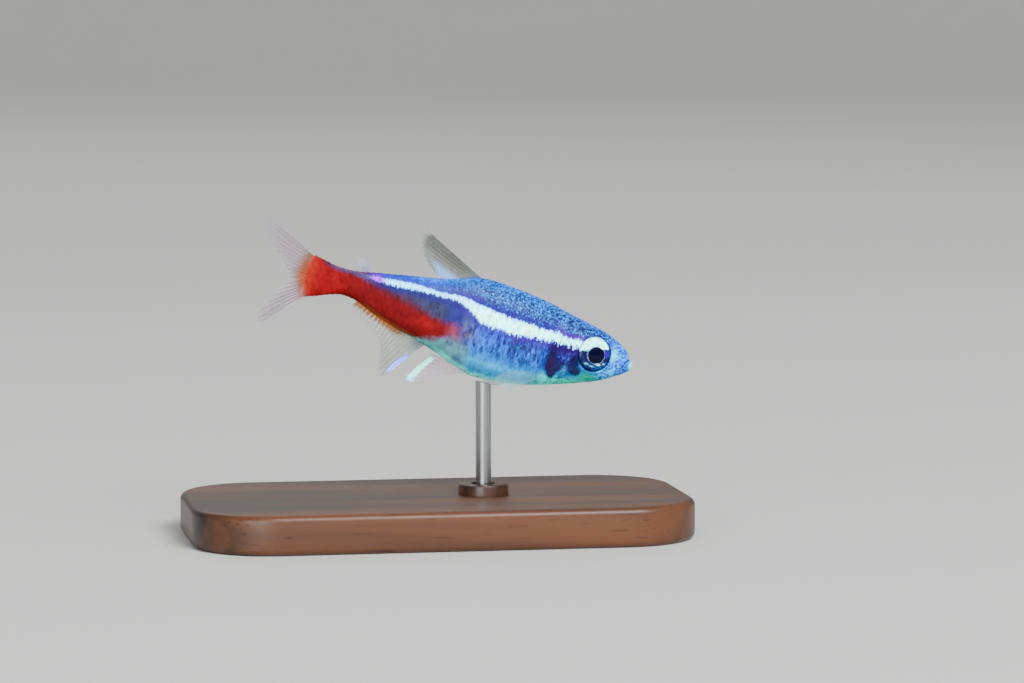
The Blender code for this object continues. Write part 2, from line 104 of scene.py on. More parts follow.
# %% From hex codes to linear light, and adding a node
def linear(code):
    """The linear red, green and blue of a hex code such as #8899aa."""
    shares = np.array([int(code[i:i + 2], 16) / 255 for i in (1, 3, 5)])
    return np.where(shares <= 0.04045, shares / 12.92, ((shares + 0.055) / 1.055) ** 2.4)


def rgba(code):
    return (*linear(code), 1)


def plug(node, inputs):
    """Fills a node's inputs. A value is a number, a colour or the output that is linked to it."""
    for name, value in inputs.items():
        if isinstance(value, bpy.types.NodeSocket):
            node.id_data.links.new(value, node.inputs[name])
        else:
            node.inputs[name].default_value = value


def add(nodes, kind, inputs=(), give=None, slots=None, **settings):
    """Adds a node with its settings and links, and hands it back, or only its output number "give".

    The inputs are a dictionary, or a plain row of values for the first inputs or for the given slots.
    """
    node = nodes.new("ShaderNode" + kind)
    for name, value in settings.items():
        setattr(node, name, value)
    plug(node, inputs if isinstance(inputs, dict) else dict(zip(slots or range(len(inputs)), inputs)))
    return node if give is None else node.outputs[give]


# settings that many nodes share: a soft ramp, a product, a product with a sum, a scaled colour, and a
# mix of two colours by a share
SOFT = {"give": 0, "interpolation_type": "SMOOTHSTEP"}
TIMES = {"give": 0, "operation": "MULTIPLY"}
TIMES_ADD = {"give": 0, "operation": "MULTIPLY_ADD"}
SCALED = {"give": 0, "operation": "SCALE"}
MIXED = {"give": 2, "slots": (0, 6, 7), "data_type": "RGBA"}


def new_material(name):
    """An empty material, its nodes and its surface shader, which is already linked to the output."""
    material = bpy.data.materials.new(name)
    material.use_nodes = True
    nodes = material.node_tree.nodes
    nodes.clear()
    surface = add(nodes, "BsdfPrincipled")
    add(nodes, "OutputMaterial", {"Surface": surface.outputs[0]})
    return material, nodes, surface


# %% [markdown]
# ## The lines of the fish
#
# A fish is easy to measure when it is straight. Here x runs back from the snout along the middle of the
# body, y to the fish's left and z up, all in millimetres. The outlines are smooth lines through a few
# measured points. They are the same as in the solids, so that the skin fits where the solids were.

# %% Smooth lines through measured points
def smooth_line(knots):
    """A monotone cubic through the knots: it never swings past them, as a plain spline would."""
    at, value = (np.array([knot[i] for knot in knots], float) for i in (0, 1))
    step = np.diff(at)
    slope = np.diff(value) / step
    tangent = np.zeros(len(at))
    tangent[0], tangent[-1] = slope[0], slope[-1]
    for i in range(1, len(at) - 1):
        if slope[i - 1] * slope[i] > 0:
            before, after = 2 * step[i] + step[i - 1], step[i] + 2 * step[i - 1]
            tangent[i] = (before + after) / (before / slope[i - 1] + after / slope[i])

    def read(x):
        i = np.clip(np.searchsorted(at, x) - 1, 0, len(step) - 1)
        t = np.clip((x - at[i]) / step[i], 0, 1)
        start, end = (1 + 2 * t) * (1 - t) ** 2, t * t * (3 - 2 * t)
        leave, arrive = t * (1 - t) ** 2, t * t * (t - 1)
        bow = leave * tangent[i] + arrive * tangent[i + 1]
        return start * value[i] + end * value[i + 1] + step[i] * bow

    return read


def by_root(knots):
    """Read against the square root of the station, so that the snout comes out round."""
    line = smooth_line([(math.sqrt(x), y) for x, y in knots])
    return lambda x: line(np.sqrt(np.maximum(x, 0)))


def soft(value, start, end):
    """An S-shaped rise from 0 at the start to 1 at the end, which may lie on either side of it."""
    t = np.clip((value - start) / (end - start), 0, 1)
    return t * t * (3 - 2 * t)


def bump(distance, width):
    """A bell: 1 where the distance is nought, and next to nothing past two widths."""
    return np.exp(-((distance / width) ** 2))


back = by_root([
    (0, 0.03), (0.12, 0.34), (0.3, 0.5), (0.4, 0.83), (0.56, 1.01), (1.06, 1.33), (2.1, 1.82),
    (3.7, 2.25), (5.8, 2.66), (7.8, 3.04), (10.4, 3.34), (12.2, 3.42), (13.2, 3.32), (14.4, 2.92),
    (15.9, 2.52), (18.2, 2.12), (20.9, 1.66), (23.1, 1.33), (24.3, 1.36), (25.4, 1.55), (26.5, 1.76)])
belly = by_root([
    (0, -0.03), (0.1, -0.46), (0.5, -0.84), (1.05, -1.16), (2.1, -1.78), (3.6, -2.38), (5.7, -3.08),
    (7.8, -3.62), (9.8, -3.92), (11.7, -4.02), (12.9, -3.74), (14.7, -3.08), (16.6, -2.48),
    (18.7, -1.96), (20.8, -1.28), (22.0, -0.84), (23.1, -0.68), (24.2, -0.88), (25.3, -1.24),
    (26.5, -1.56)])
half_width = by_root([
    (0, 0.04), (0.1, 0.42), (0.4, 0.66), (1.0, 0.9), (2.0, 1.12), (3.3, 1.34), (4.6, 1.52), (6.2, 1.68),
    (8.5, 1.78), (11.0, 1.74), (13.0, 1.6), (15.5, 1.3), (18.0, 1.0), (20.5, 0.76), (23.0, 0.55),
    (25.0, 0.42), (26.0, 0.32), (26.5, 0.16), (27.0, 0.05)])
widest_height = by_root([
    (0, 0.0), (3.0, 0.05), (7.0, -0.2), (12.0, -0.35), (16.0, -0.1), (20.0, 0.15), (23.0, 0.32),
    (26.5, 0.1)])
gill_edge = smooth_line([
    (-4.6, 4.6), (-3.5, 4.9), (-2.95, 5.5), (-2.55, 6.1), (-2.15, 6.55), (-1.55, 6.9), (-0.85, 7.13),
    (-0.2, 7.05), (0.55, 6.65), (1.4, 6.2), (2.6, 5.95), (4.2, 5.8)])
SECTION_ROUNDNESS = 2.15


def body_points(x, angle, grow=0.0):
    """Points of the sections at x, at angles that run from the fish's left over its back."""
    middle, wide = widest_height(x), half_width(x) + grow
    side, rise = np.cos(angle), np.sin(angle)
    tall = np.where(rise >= 0, back(x) + grow - middle, middle - belly(x) + grow)
    y = wide * np.copysign(np.abs(side) ** (2 / SECTION_ROUNDNESS), side)
    z = middle + tall * np.copysign(np.abs(rise) ** (2 / SECTION_ROUNDNESS), rise)
    return np.stack([x + 0 * angle, y, z], axis=1)


# %% [markdown]
# ## The pose
#
# The fish swims nose down and sweeps its tail towards the viewer. Bending comes last: a point's station
# tells how far along the midline it lies and how far the midline has turned there.

# %% From the straight fish to its place on the stand
BODY_LENGTH, BEND_START, BEND_POWER = 26.5, 11.1, 1.5
BEND_AT_TAIL_ROOT, NOSE_DOWN = math.radians(26), math.radians(16.4)
MIDLINE_STEP = 0.05


def heading(station):
    past = np.maximum(0, (station - BEND_START) / (BODY_LENGTH - BEND_START))
    return BEND_AT_TAIL_ROOT * past**BEND_POWER


stations = np.arange(0, 36, MIDLINE_STEP)
turns = heading(stations[:-1] + MIDLINE_STEP / 2)
midline_x = -np.concatenate([[0], np.cumsum(np.cos(turns))]) * MIDLINE_STEP
midline_y = -np.concatenate([[0], np.cumsum(np.sin(turns))]) * MIDLINE_STEP


def posed(points):
    """Points of the straight fish, in millimetres, where they are on the stand, in metres."""
    station, out, height = points.T
    turn = heading(station)
    x = np.interp(station, stations, midline_x) + np.maximum(-station, 0) - np.sin(turn) * out
    y = np.interp(station, stations, midline_y) + np.cos(turn) * out
    tip_cos, tip_sin = math.cos(NOSE_DOWN), math.sin(NOSE_DOWN)
    placed = np.stack([tip_cos * x + tip_sin * height, y, tip_cos * height - tip_sin * x], axis=1)
    return (placed + np.array(SNOUT)) * MM


print("tail root at", np.round(posed(np.array([[BODY_LENGTH, 0, 0]]))[0] / MM, 2), "mm")

# %% [markdown]
# ## Where the markings run
#
# The neon stripe of the real fish is a band of mirror crystals in the skin, and the red comes from
# pigment cells. Both have fairly sharp, ragged borders, which no mesh is fine enough to hold. So the
# mesh only carries smooth numbers, such as how far a point lies above the stripe, and the material
# turns them into borders and adds the ragged teeth. Skin and scales ask the same function, so that
# their markings agree.

# %% The borders of the stripe and of the red
stripe_top = smooth_line([
    (3.0, 0.95), (4.52, 0.88), (5.56, 0.86), (6.59, 1.0), (7.62, 0.98), (8.65, 1.08), (9.68, 1.09),
    (10.71, 1.14), (11.73, 1.28), (12.74, 1.42), (13.74, 1.58), (14.74, 1.61), (16.0, 1.5),
    (16.98, 1.53), (18.23, 1.55), (19.48, 1.47), (20.24, 1.36), (21.25, 1.3), (21.9, 1.22)])
stripe_bottom = smooth_line([
    (3.0, 0.4), (4.51, 0.32), (5.25, 0.25), (6.58, 0.24), (7.6, 0.15), (8.64, 0.08), (9.66, -0.04),
    (10.69, 0.05), (11.71, 0.0), (12.47, 0.15), (13.23, 0.66), (13.98, 1.05), (14.73, 1.28),
    (15.73, 1.25), (17.2, 1.2), (18.22, 1.18), (19.5, 1.09), (20.23, 1.08), (21.9, 1.1)])
red_top = smooth_line([
    (13.5, -0.8), (14.17, -0.65), (15.17, -0.5), (16.18, -0.32), (17.19, -0.04), (18.2, 0.14),
    (19.22, 0.38), (20.24, 0.55), (21.27, 0.8), (22.31, 1.16), (23.36, 1.3), (24.42, 1.36),
    (25.24, 1.5), (26.07, 1.8)])
red_bottom = smooth_line([
    (13.5, -1.2), (13.91, -1.37), (14.66, -1.6), (15.16, -1.95), (16.16, -2.3), (17.17, -2.6),
    (18.18, -2.7)])
STRIPE_END, RED_START = 21.75, 13.9
MOUTH = [(-0.4, 0.62), (0.34, 0.5), (0.62, 0.18), (0.86, -0.26), (1.05, -0.66)]
mouth_edge = smooth_line(MOUTH)
mouth_x = np.linspace(MOUTH[0][0], MOUTH[-1][0], 16)
mouth_points = np.stack([mouth_x, mouth_edge(mouth_x)], axis=1)


def distance_to(x, z, line):
    """How far each point lies from a line of points in the side view."""
    line = np.array(line, float)
    share = np.linspace(0, len(line) - 1, 8 * len(line))
    dense = [np.interp(share, np.arange(len(line)), line[:, i]) for i in (0, 1)]
    return np.sqrt(np.min((x[:, None] - dense[0]) ** 2 + (z[:, None] - dense[1]) ** 2, axis=1))


def rough(x, z, size, depth=0):
    """Noise between about -1 and 1 whose blotches have the given size in millimetres."""
    spots = np.stack([x / size, z / size, depth + 0 * x], axis=1)
    return np.array([noise.noise(Vector(spot)) for spot in spots])


def blot(x, z, centre, reach):
    """A soft round patch, 1 in its middle."""
    return bump(np.hypot((x - centre[0]) / reach[0], (z - centre[1]) / reach[1]), 1) ** 0.8


def patch(x, z, centre, reach, rag):
    """A patch with a ragged edge, 1 inside its ellipse and 0 outside."""
    far = np.hypot((x - centre[0]) / reach[0], (z - centre[1]) / reach[1])
    return soft(far - 0.8 * rag, 1.2, 0.7)


def paint(ground, *coats):
    """Lays coats, each a code with its share at each point, over a ground, a code or colours."""
    if isinstance(ground, str):
        ground = np.tile(linear(ground), (len(coats[0][1]), 1))
    for code, share in coats:
        ground = ground + (linear(code) - ground) * np.clip(share, 0, 1)[:, None]
    return ground


# %% The soft colours under the markings
# patches as (centre, reach, colour, share): the flank's blues and greys, the throat's greens and a
# painted snout highlight
FLANK_PATCHES = [
    ((13.4, -3.0), (0.3, 0.16), "#36566a", 1), ((11.7, -3.3), (0.3, 0.14), "#35636d", 1),
    ((13.2, -1.1), (0.35, 0.6), "#373158", 0.8), ((13.9, -1.5), (0.3, 0.3), "#605b6a", 0.9),
    ((12.5, -0.9), (0.5, 0.5), "#4050bf", 0.7), ((9.2, -2.75), (1.8, 0.16), "#05baff", 0.9),
    ((8.6, -3.2), (1.2, 0.14), "#00a5ff", 0.8), ((7.6, -1.5), (0.35, 0.45), "#29307a", 0.8),
    ((8.3, -1.0), (0.3, 0.45), "#2a3483", 0.8), ((9.4, -1.3), (0.35, 0.4), "#25347d", 0.8),
    ((10.7, -1.6), (0.5, 0.22), "#244381", 0.8), ((9.9, -2.0), (0.6, 0.2), "#23508a", 0.7),
    ((11.4, -2.2), (0.6, 0.25), "#0086e0", 0.8), ((11.0, -0.6), (0.9, 0.5), "#0057fa", 0.7),
    ((7.3, -0.8), (0.2, 0.7), "#0053cf", 0.9)]
THROAT_PATCHES_AND_SNOUT_HIGHLIGHT = [
    ((3.1, -1.75), (1.0, 0.3), "#009b8d", 1), ((3.0, -1.62), (0.9, 0.36), "#00906c", 1),
    ((4.4, -2.5), (1.8, 0.34), "#00dcba", 1), ((1.7, -1.1), (1.0, 0.36), "#02a7ff", 1),
    # the last patch, a pale cyan spot on the snout's side, is a painted highlight
    ((6.6, -2.8), (0.9, 0.34), "#00ebd8", 0.9), ((1.72, 0.42), (0.3, 0.36), "#00ffff", 0.9)]


def flesh_colours(x, z):
    """The broad colours of back, flank and belly, without stripe and red."""
    over, under = z - stripe_top(x), stripe_bottom(x) - z
    flank = paint(
        "#1650b5", ("#075bb4", soft(z, -1.2, -2)), ("#008cd0", soft(z, -2, -2.7)),
        ("#0296cc", soft(z, -2.3, -2.9) * soft(x, 9.2, 10.4)),
        ("#455694", soft(x, 11.8, 13) * soft(z, -1.9, -1.4)),
        ("#4c8290", soft(x, 12.2, 13.2) * soft(z, -1.5, -2)),
        ("#67fef3", soft(z - belly(x), 0.5, 0.1)),
        *[(code, share * blot(x, z, centre, reach)) for centre, reach, code, share in FLANK_PATCHES])
    grey = soft(x, 12.2, 13) * soft(x, 15.6, 14.4) * soft(z, -2.4, -1.9) * soft(z, 0.1, -0.4)
    mottle = rough(x, z, 0.36, 3)
    flank = paint(flank, ("#635978", grey * soft(mottle, 0.05, 0.3)),
                  ("#322a4d", grey * soft(mottle, -0.05, -0.3) * 0.9))
    upper = paint(
        "#1454a6", ("#1f3d83", soft(over, 0.9, 0.3)), ("#1252dc", soft(x, 14.5, 17)),
        # a painted highlight: a lighter blue along the back's ridge, ahead of the tail
        ("#0082ff", soft(z - back(x), -0.4, -0.05) * 0.8 * soft(x, 19, 17)),
        ("#4710ab", soft(x, 19.5, 21)), ("#542a40", soft(x, 21.2, 21.9)))
    colours = flank + (upper - flank) * soft(over, -0.1, 0.2)[:, None]
    # the dark wedge between stripe and red, and the green under the red's front end
    wedge = soft(x, 13, 14.2) * soft(under, -0.05, 0.1) * soft(z - red_top(x), -0.7, -0.2)
    under_tail = soft(x, 14.2, 15.4) * soft(z - red_bottom(x), 0.1, -0.2)
    return paint(
        colours, ("#25236b", wedge * soft(x, 22.5, 21)),
        ("#31324b", wedge * soft(x, 14.5, 15.7) * soft(under, 0.3, 0.6)),
        ("#382a3c", wedge * soft(x, 16.5, 18.5) * soft(under, 0.3, 0.6)),
        ("#4a9292", under_tail * soft(x, 17.5, 16)))


def head_colours(x, out, z, colours):
    """Cheek, gill cover, snout and lips, laid over the broad colours."""
    head = soft(x, 7.4, 6.9)
    rag = 0.4 * rough(x, z, 0.42) + 0.3 * rough(x, z, 0.17, 5)
    fine = rough(x, z, 0.13, 9 + out / 0.2)
    colours = paint(
        colours, ("#005bff", head * soft(x, 2.6, 1.7)),
        ("#22438e", head * soft(z, 1.2, 1.5) * soft(x, 2.2, 3) * 0.8),
        # a painted highlight: a lighter blue along the top of the head
        ("#016df5", head * soft(z - back(x), -0.3, -0.05) * 0.9),
        *[(code, head * share * np.clip(1 + rag, 0, 1) * blot(x, z, centre, reach))
          for centre, reach, code, share in THROAT_PATCHES_AND_SNOUT_HIGHLIGHT])
    # dark patches: crown, column of the cheek, gill cover and its tip, behind the eye, under the stripe
    on_cover = soft(x - gill_edge(z), 0.02, -0.06)
    for centre, reach, code, share in [
        ((4.4, 1.66), (0.55, 0.2), "#1e2452", 1), ((5.5, 1.95), (0.45, 0.18), "#1f285e", 0.9),
        ((5.3, -0.8), (0.5, 1.7), "#2a2f67", 1), ((5.3, -1.7), (0.35, 0.5), "#1a74b0", 0.8),
        ((6.3, -0.95), (1.08, 1.38), "#160e3f", on_cover),
        ((6.1, -1.95), (0.5, 0.55), "#1e1b42", on_cover),
        ((6.5, -1.3), (0.3, 0.6), "#240f3b", 0.8), ((5.85, -0.4), (0.3, 0.3), "#1f1d5d", 0.8),
        ((4.68, -0.75), (0.48, 1.1), "#0f0d38", 1), ((4.4, -1.45), (0.5, 0.42), "#162044", 1),
        ((5.1, -0.1), (0.9, 0.3), "#27016b", 0.9),
    ]:
        colours = paint(colours, (code, head * share * patch(x, z, centre, reach, rag)))
    cheek = head * soft(x, 4.3, 4.6) * soft(z, -0.15, -0.35)
    speckle = head * soft(x, 2.9, 2.4) * soft(x, 0.3, 0.6)
    # a painted shade: a dark line along the mouth's slit
    mouth = head * bump(distance_to(x, z, mouth_points), 0.055) * soft(x, 0.15, 0.35)
    lip = patch(x, z, (0.0, 0.03), (0.34, 0.46), 0.3 * rag) * soft(z - mouth_edge(x), 0, -0.06)
    return paint(
        colours,
        ("#283fc2", cheek * soft(fine, 0.12, 0.37) * soft(z, -1.3, -0.7) * soft(x, 6.3, 5.8) * 0.8),
        ("#0c062f", cheek * soft(fine, -0.12, -0.37) * 0.5),
        ("#203075", speckle * soft(fine, 0.12, 0.32) * 0.75),
        ("#00cfff", speckle * soft(fine, -0.12, -0.37) * 0.8),
        ("#1b2353", mouth * 0.85), ("#54f0e8", lip))


def tail_round(z):
    """How much sooner the tail's red ends above and below the middle."""
    return np.where(z > 0.1, 0.3, 0.45) * np.abs(z - 0.1) ** 1.5


def red_colours(x, z):
    """The red of the tail: pinkish where it starts, maroon along its lower edge, orange on the fin."""
    over_belly, under_back = z - belly(x), z - back(x)
    rear = 0.8 * soft(x + 0.8 * tail_round(z), 26.75, 27.45)
    return paint(
        "#6c0f14", ("#8a3a45", soft(x, 15.1, 14.2)), ("#8a0d15", blot(x, z, (16.5, -1.0), (0.8, 0.4))),
        ("#5c1311", soft(over_belly, 0.55, 0.2) * soft(x, 15, 16.5) * soft(x, 23, 21)),
        ("#860d13", soft(x, 22.5, 24.5)),
        ("#461621", 0.7 * soft(z - red_top(x), -0.5, 0) * soft(x, 14.6, 15.6) * soft(x, 23, 21.5)),
        ("#501f31", soft(under_back, -0.5, -0.2) * soft(x, 20.5, 22) * soft(x, 26.2, 25.2)),
        ("#783b1b", soft(over_belly, 0.32, 0.12) * soft(x, 16, 18) * soft(x, 21.8, 20.8)),
        ("#89211f", soft(over_belly, 0.3, 0.05) * soft(x, 23, 24)), ("#952517", soft(x, 25.7, 26.7)),
        # a painted highlight: a thin pale pink line just under the back near the tail's root
        ("#834871", 0.8 * soft(under_back, -0.17, -0.07) * soft(x, 21, 22) * soft(x, 25, 24)),
        ("#96777c", rear))


def fringe_colours(x, z):
    """The dark and violet lines that border the stripe, with how strong they are as a fourth value."""
    above = z > (stripe_top(x) + stripe_bottom(x)) / 2
    over = paint("#231483", ("#40018d", soft(x, 7.2, 6.2)), ("#1b2199", soft(x, 14, 17)),
                 ("#640db2", soft(x, 20.2, 21.2)))
    under = paint("#360681", ("#20044e", soft(x, 7.3, 6.5)),
                  ("#310082", soft(x, 11.6, 12.4) * soft(x, 14.2, 13.4)),
                  ("#232060", soft(x, 13.8, 14.8)))
    thin = soft(x, 6.6, 5.6) * soft(z - stripe_top(x), 0.26, 0.41)
    strength_over = (1 - 0.3 * soft(x, 15, 18)) * (1 - thin)
    strength_under = 0.9 - 0.3 * soft(x, 9.6, 10.8)
    colours = np.where(above[:, None], over, under)
    strength = np.where(above, strength_over, strength_under) * soft(x, 3.4, 4.2) * soft(x, 21.7, 21)
    return np.concatenate([colours, strength[:, None]], axis=1)


# %% Writing the numbers onto a mesh
def write(mesh, **layers):
    """Stores layers of values at the vertices: single numbers, places of three or colours of four."""
    kinds = {1: ("FLOAT", "value"), 3: ("FLOAT_VECTOR", "vector"), 4: ("FLOAT_COLOR", "color")}
    for name, values in layers.items():
        kind, field = kinds[values.size // len(mesh.vertices)]
        layer = mesh.attributes.new(name, kind, "POINT")
        layer.data.foreach_set(field, np.ascontiguousarray(values, np.float32).ravel())


def opaque(colours):
    return np.column_stack([colours, np.ones(len(colours))])


def write_markings(mesh, points):
    """Everything that the flesh's material reads, worked out from where a point lies on the fish."""
    x, out, z = points.T
    over, under = z - stripe_top(x), stripe_bottom(x) - z
    on_side = soft(np.abs(out) / np.maximum(half_width(x), 0.1), 0.15, 0.4)
    red_depth = np.minimum(np.minimum(red_top(x) - z, z - red_bottom(x)), (x - RED_START) * 0.6)
    fleck = soft(over, 0, 0.3) * soft(x, 1.6, 3.1) * (1 - 0.75 * soft(x, 12, 15.5))
    fleck = fleck * (1 - 0.3 * bump(np.hypot((x - 4.9) / 0.9, (z - 1.8) / 0.35), 1)) * 0.95
    # streaks: strong on the upper flank, and faint between stripe and red and on the rear back
    flank = soft(x, 6.6, 7.4) * soft(under, 0, 0.2) * soft(x, 13.9, 12.3)
    flank = flank * (0.3 + 0.7 * soft(z, -2.5, -1.5))
    between = soft(x, 12.6, 13.6) * soft(under, 0, 0.2)
    between = between * soft(z - red_top(x), -0.3, 0) * soft(x, 21, 19)
    rear_back = soft(over, 0.15, 0.45) * soft(x, 11, 13) * soft(x, 18, 15)
    write(mesh, place=points, over_stripe=over, under_stripe=under,
          stripe=soft(x, 4.2, 4.5) * soft(x, STRIPE_END, STRIPE_END - 0.5) * on_side,
          red_depth=np.where(x > 25.2, 1.0, red_depth), fleck=fleck,
          streak=np.maximum(np.maximum(flank, 0.1 * between), 0.45 * rear_back),
          flesh=opaque(head_colours(x, out, z, flesh_colours(x, z))),
          red=opaque(red_colours(x, z)), fringe=fringe_colours(x, z))


# %% [markdown]
# ## The finish of the flesh
#
# Fresh fish skin is a clear, wet film over pigment and mirror crystals. It is not a metal, but the
# crystals send back more light than any paint. The material therefore has a thin coat for the film, a
# painted glow, an emission that stands in for the light the stripe's crystals send back, and many fine
# specks. Its patterns follow the straight fish's millimetres, so they bend with the body.

# %% Wet skin with specks, stripe and red
# how often each pattern repeats on a millimetre: ragged teeth and streaks stand upright, so they repeat
# more often along the fish than up its side; specks, grains of red and clouds are round
TEETH, STREAKS, SPECKS, RED_GRAINS, CLOUDS = (6.0, 1.6, 1.6), (4.4, 1.5, 1.5), 6.2, 4.5, 1.6
# the strength of the stripe's painted glow, and how high the fine bumps stand
STRIPE_PAINTED_GLOW, PEBBLE_HEIGHT = 3.4, 0.03


def make_wet_skin():
    material, nodes, surface = new_material("wet_fish_skin")
    place = add(nodes, "Attribute", attribute_name="place").outputs["Vector"]
    station = add(nodes, "SeparateXYZ", (place,), 0)
    fleck, streak, run, over, under, depth = (
        add(nodes, "Attribute", attribute_name=name).outputs["Fac"]
        for name in ("fleck", "streak", "stripe", "over_stripe", "under_stripe", "red_depth"))
    flesh, pigment, fringe = (
        add(nodes, "Attribute", attribute_name=name).outputs["Color"]
        for name in ("flesh", "red", "fringe"))
    fringe_strength = fringe.node.outputs["Alpha"]
    # noise: narrow upright teeth, upright streaks, fine grain, grains of red, soft clouds
    narrow = add(nodes, "VectorMath", (place, TEETH), **TIMES)
    teeth = add(nodes, "TexNoise", {"Vector": narrow, "Scale": 1, "Detail": 2, "Roughness": 0.6}, 0)
    upright = add(nodes, "VectorMath", (place, STREAKS), **TIMES)
    lines = add(nodes, "TexNoise", {"Vector": upright, "Scale": 1, "Detail": 3, "Roughness": 0.75}, 0)
    fine = add(nodes, "TexNoise", {"Vector": place, "Scale": SPECKS, "Detail": 2, "Roughness": 0.7}, 0)
    grain, cloud = (
        add(nodes, "TexNoise", {"Vector": place, "Scale": scale, "Detail": 3, "Roughness": 0.65}, 0)
        for scale in (RED_GRAINS, CLOUDS))
    cloudy = add(nodes, "MapRange", (cloud, 0.3, 0.7, 0.75, 1.25), **SOFT)
    # clouds, then pale and dark specks on the back, pale and dark streaks on the flank
    skin_tone = add(nodes, "VectorMath", {0: flesh, "Scale": cloudy}, **SCALED)
    for pattern, amount, pale, dark in (
            (fine, fleck, "#0490ff", "#18194b"), (lines, streak, "#026ef4", "#1f2655")):
        for code, full in ((pale, 0.64), (dark, 0.4)):
            share = add(nodes, "MapRange", (pattern, 0.52, full), **SOFT)
            share = add(nodes, "Math", (share, amount), **TIMES)
            skin_tone = add(nodes, "Mix", (share, skin_tone, rgba(code)), **MIXED)
    # a point is on the stripe where it lies neither over its top nor under its bottom border
    both = add(nodes, "Math", (fine, 0.7, teeth), **TIMES_ADD)
    ragged = add(nodes, "Math", (both, 0.85), 0, operation="SUBTRACT")
    calmer = add(nodes, "MapRange", (station, 8.0, 13.5, 1.0, 0.5), **SOFT)
    ragged = add(nodes, "Math", (ragged, calmer), **TIMES)
    over = add(nodes, "Math", (ragged, 0.6, over), **TIMES_ADD)
    under = add(nodes, "Math", (ragged, 1.1, under), **TIMES_ADD)
    not_over = add(nodes, "MapRange", (over, 0.09, -0.07), **SOFT)
    not_under = add(nodes, "MapRange", (under, 0.1, -0.07), **SOFT)
    band = add(nodes, "Math", (not_over, not_under), **TIMES)
    stripe = add(nodes, "Math", (band, run), **TIMES)
    # dark and violet lines along the outside of the stripe's borders, wider below it
    past_top = add(nodes, "Math", (grain, 2.2, over), **TIMES_ADD)
    past_top = add(nodes, "Math", (past_top, 0.7, -0.75), **TIMES_ADD)
    past_bottom = add(nodes, "Math", (under, 0.68), **TIMES)
    outside = add(nodes, "Math", (past_top, past_bottom), 0, operation="MAXIMUM")
    strength = add(nodes, "MapRange", (outside, 0.64, 0.12), **SOFT)
    strength = add(nodes, "Math", (strength, fringe_strength), **TIMES)
    broken = add(nodes, "MapRange", (teeth, 0.22, 0.44, 0.35, 1.0), **SOFT)
    strength = add(nodes, "Math", (strength, broken), **TIMES)
    skin_tone = add(nodes, "Mix", (strength, skin_tone, fringe), **MIXED)
    # the red starts grain by grain
    wander = add(nodes, "Math", (grain, 0.5), 0, operation="SUBTRACT")
    depth = add(nodes, "Math", (wander, 1.0, depth), **TIMES_ADD)
    red_share = add(nodes, "MapRange", (depth, -0.4, 0.4), **SOFT)
    deeper = add(nodes, "MapRange", (cloud, 0.3, 0.7, 0.72, 1.08), **SOFT)
    pigment = add(nodes, "VectorMath", {0: pigment, "Scale": deeper}, **SCALED)
    skin_tone = add(nodes, "Mix", (red_share, skin_tone, pigment), **MIXED)
    # the stripe: pale cyan with cream patches, blue along its borders, bluer behind, lilac at its end
    to_border = add(nodes, "Math", (over, under), 0, operation="MAXIMUM")
    tint = rgba("#74ffff")
    for pattern, nothing, full, most, code in (
            (cloud, 0.45, 0.62, 1.0, "#b4ffdc"), (to_border, -0.24, 0.0, 0.95, "#5c98ff"),
            (station, 11.5, 14.5, 0.7, "#58ccff"), (station, 19.9, 20.8, 1.0, "#8420d0")):
        share = add(nodes, "MapRange", {0: pattern, 1: nothing, 2: full, 4: most}, **SOFT)
        tint = add(nodes, "Mix", (share, tint, rgba(code)), **MIXED)
    uneven = add(nodes, "MapRange", (lines, 0.34, 0.56, 0.5, 1.05), **SOFT)
    tint = add(nodes, "VectorMath", {0: tint, "Scale": uneven}, **SCALED)
    colour = add(nodes, "Mix", (stripe, skin_tone, tint), **MIXED)
    # painted glow: the mirror crystals throw back more light than white paint would, so the stripe
    # is given an emission that stands in for that light, though it is no lamp
    painted_glow = add(nodes, "VectorMath", {0: tint, "Scale": stripe}, **SCALED)
    pebbles = add(nodes, "Bump", {"Height": fine, "Strength": 0.3, "Distance": PEBBLE_HEIGHT * MM}, 0)
    plug(surface, {"Base Color": colour, "Emission Color": painted_glow, "Emission Strength": STRIPE_PAINTED_GLOW,
                   "Normal": pebbles, "Roughness": 0.42, "Specular IOR Level": 0.07,
                   "Coat Weight": 0.02, "Coat Roughness": 0.12})
    return material


wet_skin = make_wet_skin()

# %% [markdown]
# ## One skin from snout to tail
#
# The skin is a sphere whose rings become the sections of the fish, which closes it at both ends. Real
# skin lies under the scales, so it is a little smaller than the solids. The rings bend to follow the
# gill cover's edge, so that this edge is a clean step and not a staircase.

# %% Cheeks, lips and the gill cover
SKIN_DEPTH = 0.055
GILL_STATION, GILL_STEP = 6.3, 0.05
EYE_STATION, EYE_HEIGHT, EYE_OUT, EYE_RADIUS = 3.3, 0.18, 1.0, 1.36
COVER_RISE, ORBIT_RISE, LIP_RISE = 0.15, 0.07, 0.08
# furrows of the head's side as (points, width, depth): along the cheek, over it, on the gill cover,
# under the eye, along the jaw, and two of the throat
FURROWS = [
    ([(5.1, 0.2), (5.05, -0.6), (5.0, -1.4), (4.75, -2.1), (4.1, -2.35)], 0.1, 0.07),
    ([(4.55, 1.75), (5.0, 1.2), (5.3, 0.6), (5.35, 0.1)], 0.09, 0.035),
    ([(5.15, -1.7), (5.7, -1.85), (6.4, -2.0)], 0.08, 0.05),
    ([(2.1, -0.9), (2.6, -1.5), (3.3, -1.75), (4.0, -1.6), (4.6, -1.1)], 0.09, 0.035),
    ([(1.2, -0.75), (1.6, -0.85), (2.1, -1.3), (2.9, -1.95)], 0.08, 0.04),
    ([(5.9, -2.45), (5.2, -2.7), (4.4, -2.62)], 0.07, 0.05),
    ([(5.6, -2.75), (4.9, -2.9), (4.2, -2.75)], 0.06, 0.04),
]


